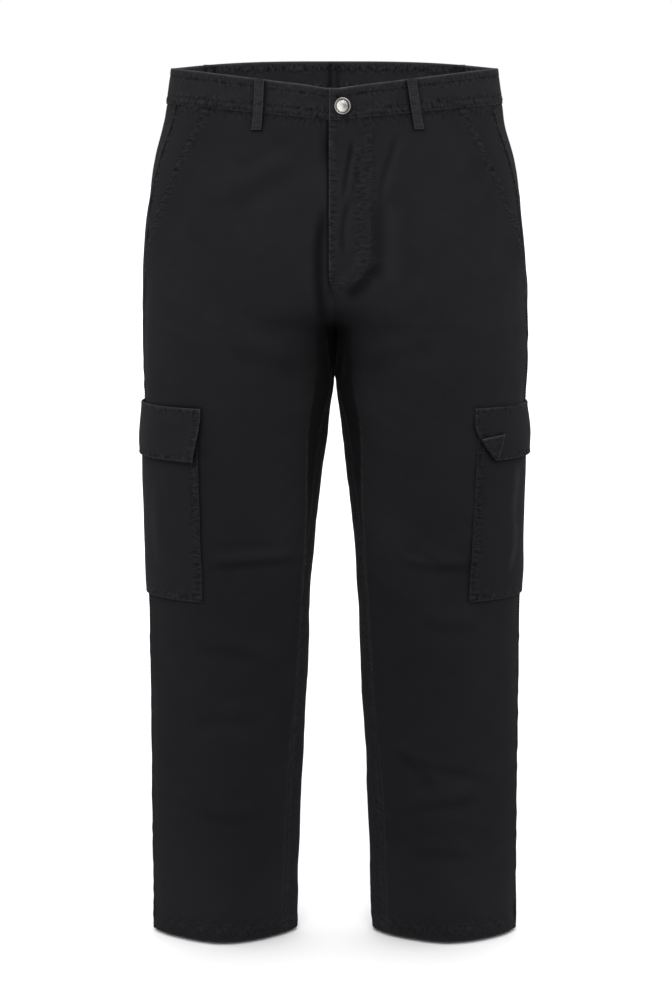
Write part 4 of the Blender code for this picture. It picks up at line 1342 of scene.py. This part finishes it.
def build_button():
    """A turned button with a rounded rim, a groove and a low dome, on its stem."""
    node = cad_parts["button"].data
    points = np.array([vert.co[:] for vert in node.vertices])
    centre = points.mean(axis=0)
    _, _, ways = np.linalg.svd(points - centre)
    axis = unit(ways[2] * (-1 if ways[2][1] > 0 else 1) + np.array([BUTTON_TURNED, 0, 0]))
    over = unit(np.cross(axis, (0, 0, 1)))
    up = np.cross(over, axis)
    height = (points - centre) @ axis
    radius = np.linalg.norm(points - centre - height[:, None] * axis, axis=1).max()
    base, thick = centre + axis * height.min(), np.ptp(height)
    angles = np.arange(BUTTON_TURNS) * 2 * math.pi / BUTTON_TURNS
    around = over * np.cos(angles)[:, None] + up * np.sin(angles)[:, None]
    _, high, tone = BUTTON_PROFILE[0]
    verts, tones = [base + axis * thick * high], [tone]
    for out, high, tone in BUTTON_PROFILE[1:]:
        verts += list(base + axis * thick * high + around * radius * out)
        # painted shade on one side of the dome
        painted_shade_side = 0.44 * (out < BUTTON_DOME) * min(1.0, out / 0.3)
        tones += list(tone - painted_shade_side * np.cos(angles + BUTTON_SHADED_SIDE))
    faces = [(0, 1 + k, 1 + (k + 1) % BUTTON_TURNS) for k in range(BUTTON_TURNS)]
    for ring in range(len(BUTTON_PROFILE) - 2):
        a, b = 1 + ring * BUTTON_TURNS, 1 + (ring + 1) * BUTTON_TURNS
        for k in range(BUTTON_TURNS):
            n = (k + 1) % BUTTON_TURNS
            faces.append((a + k, b + k, b + n, a + n))
    last = 1 + (len(BUTTON_PROFILE) - 2) * BUTTON_TURNS
    faces.append(tuple(last + k for k in reversed(range(BUTTON_TURNS))))
    mesh = bpy.data.meshes.new("waist_button")
    mesh.from_pydata(verts, [], faces)
    form = bmesh.new()
    form.from_mesh(mesh)
    bmesh.ops.recalc_face_normals(form, faces=form.faces)
    form.to_mesh(mesh)
    form.free()
    set_attribute(mesh, "tone", "FLOAT", tones)
    mesh.shade_smooth()
    add_piece("waist_button", mesh, metal, "button_metal", "button")


build_button()


# ---------------------------------------------------------------- studio

LAMPS = (
    # name, azimuth from the front, elevation, softness in degrees, strength
    ("key_lamp", 0, 42, 40, 0.72),
    ("left_lamp", 94, 16, 50, 0.20),
    ("right_lamp", -94, 16, 50, 0.20),
    ("top_lamp", 180, 74, 60, 0.70),
)
FLOOR_TONE = 0.64
FLOOR_DROP, FLOOR_SIZE = 0.004, 30
LAMP_DISTANCE = 4
LENS, SENSOR = 83, 36  # millimetres
CAMERA_PLACE, CAMERA_AIM = Vector((0.0018, -2.75, -0.054)), Vector((0.0018, 0, -0.514))


def add_object(name, data):
    made = bpy.data.objects.new(name, data)
    bpy.context.scene.collection.objects.link(made)
    return made


def studio():
    floor_mesh = bpy.data.meshes.new("floor")
    form = bmesh.new()
    bmesh.ops.create_grid(form, x_segments=1, y_segments=1, size=FLOOR_SIZE)
    form.to_mesh(floor_mesh)
    form.free()
    floor = add_object("floor", floor_mesh)
    floor.location.z = cad_box[0].z - FLOOR_DROP
    made = Nodes("pale_floor")
    made.shade(Base_Color=(FLOOR_TONE, FLOOR_TONE, FLOOR_TONE, 1), Roughness=1.0, Specular_IOR_Level=0.0)
    floor_mesh.materials.append(made.material)
    world = bpy.data.worlds.new("studio")
    bpy.context.scene.world = world
    world.use_nodes = True
    world.node_tree.nodes["Background"].inputs["Color"].default_value = (1, 1, 1, 1)
    world.node_tree.nodes["Background"].inputs["Strength"].default_value = 1.0
    for name, azimuth, elevation, angle, strength in LAMPS:
        light = bpy.data.lights.new(name, "SUN")
        light.angle = math.radians(angle)
        light.energy = strength * math.pi
        holder = add_object(name, light)
        a, e = math.radians(azimuth), math.radians(elevation)
        place = Vector((math.sin(a) * math.cos(e), -math.cos(a) * math.cos(e), math.sin(e)))
        holder.location = place * LAMP_DISTANCE
        holder.rotation_euler = place.to_track_quat("Z", "Y").to_euler()


def camera():
    data = bpy.data.cameras.new("camera")
    data.lens = LENS
    data.sensor_width = SENSOR
    holder = add_object("camera", data)
    holder.location = CAMERA_PLACE
    holder.rotation_euler = (CAMERA_AIM - CAMERA_PLACE).to_track_quat("-Z", "Y").to_euler()
    bpy.context.scene.camera = holder


studio()
camera()
bpy.context.scene.view_settings.view_transform = "Standard"
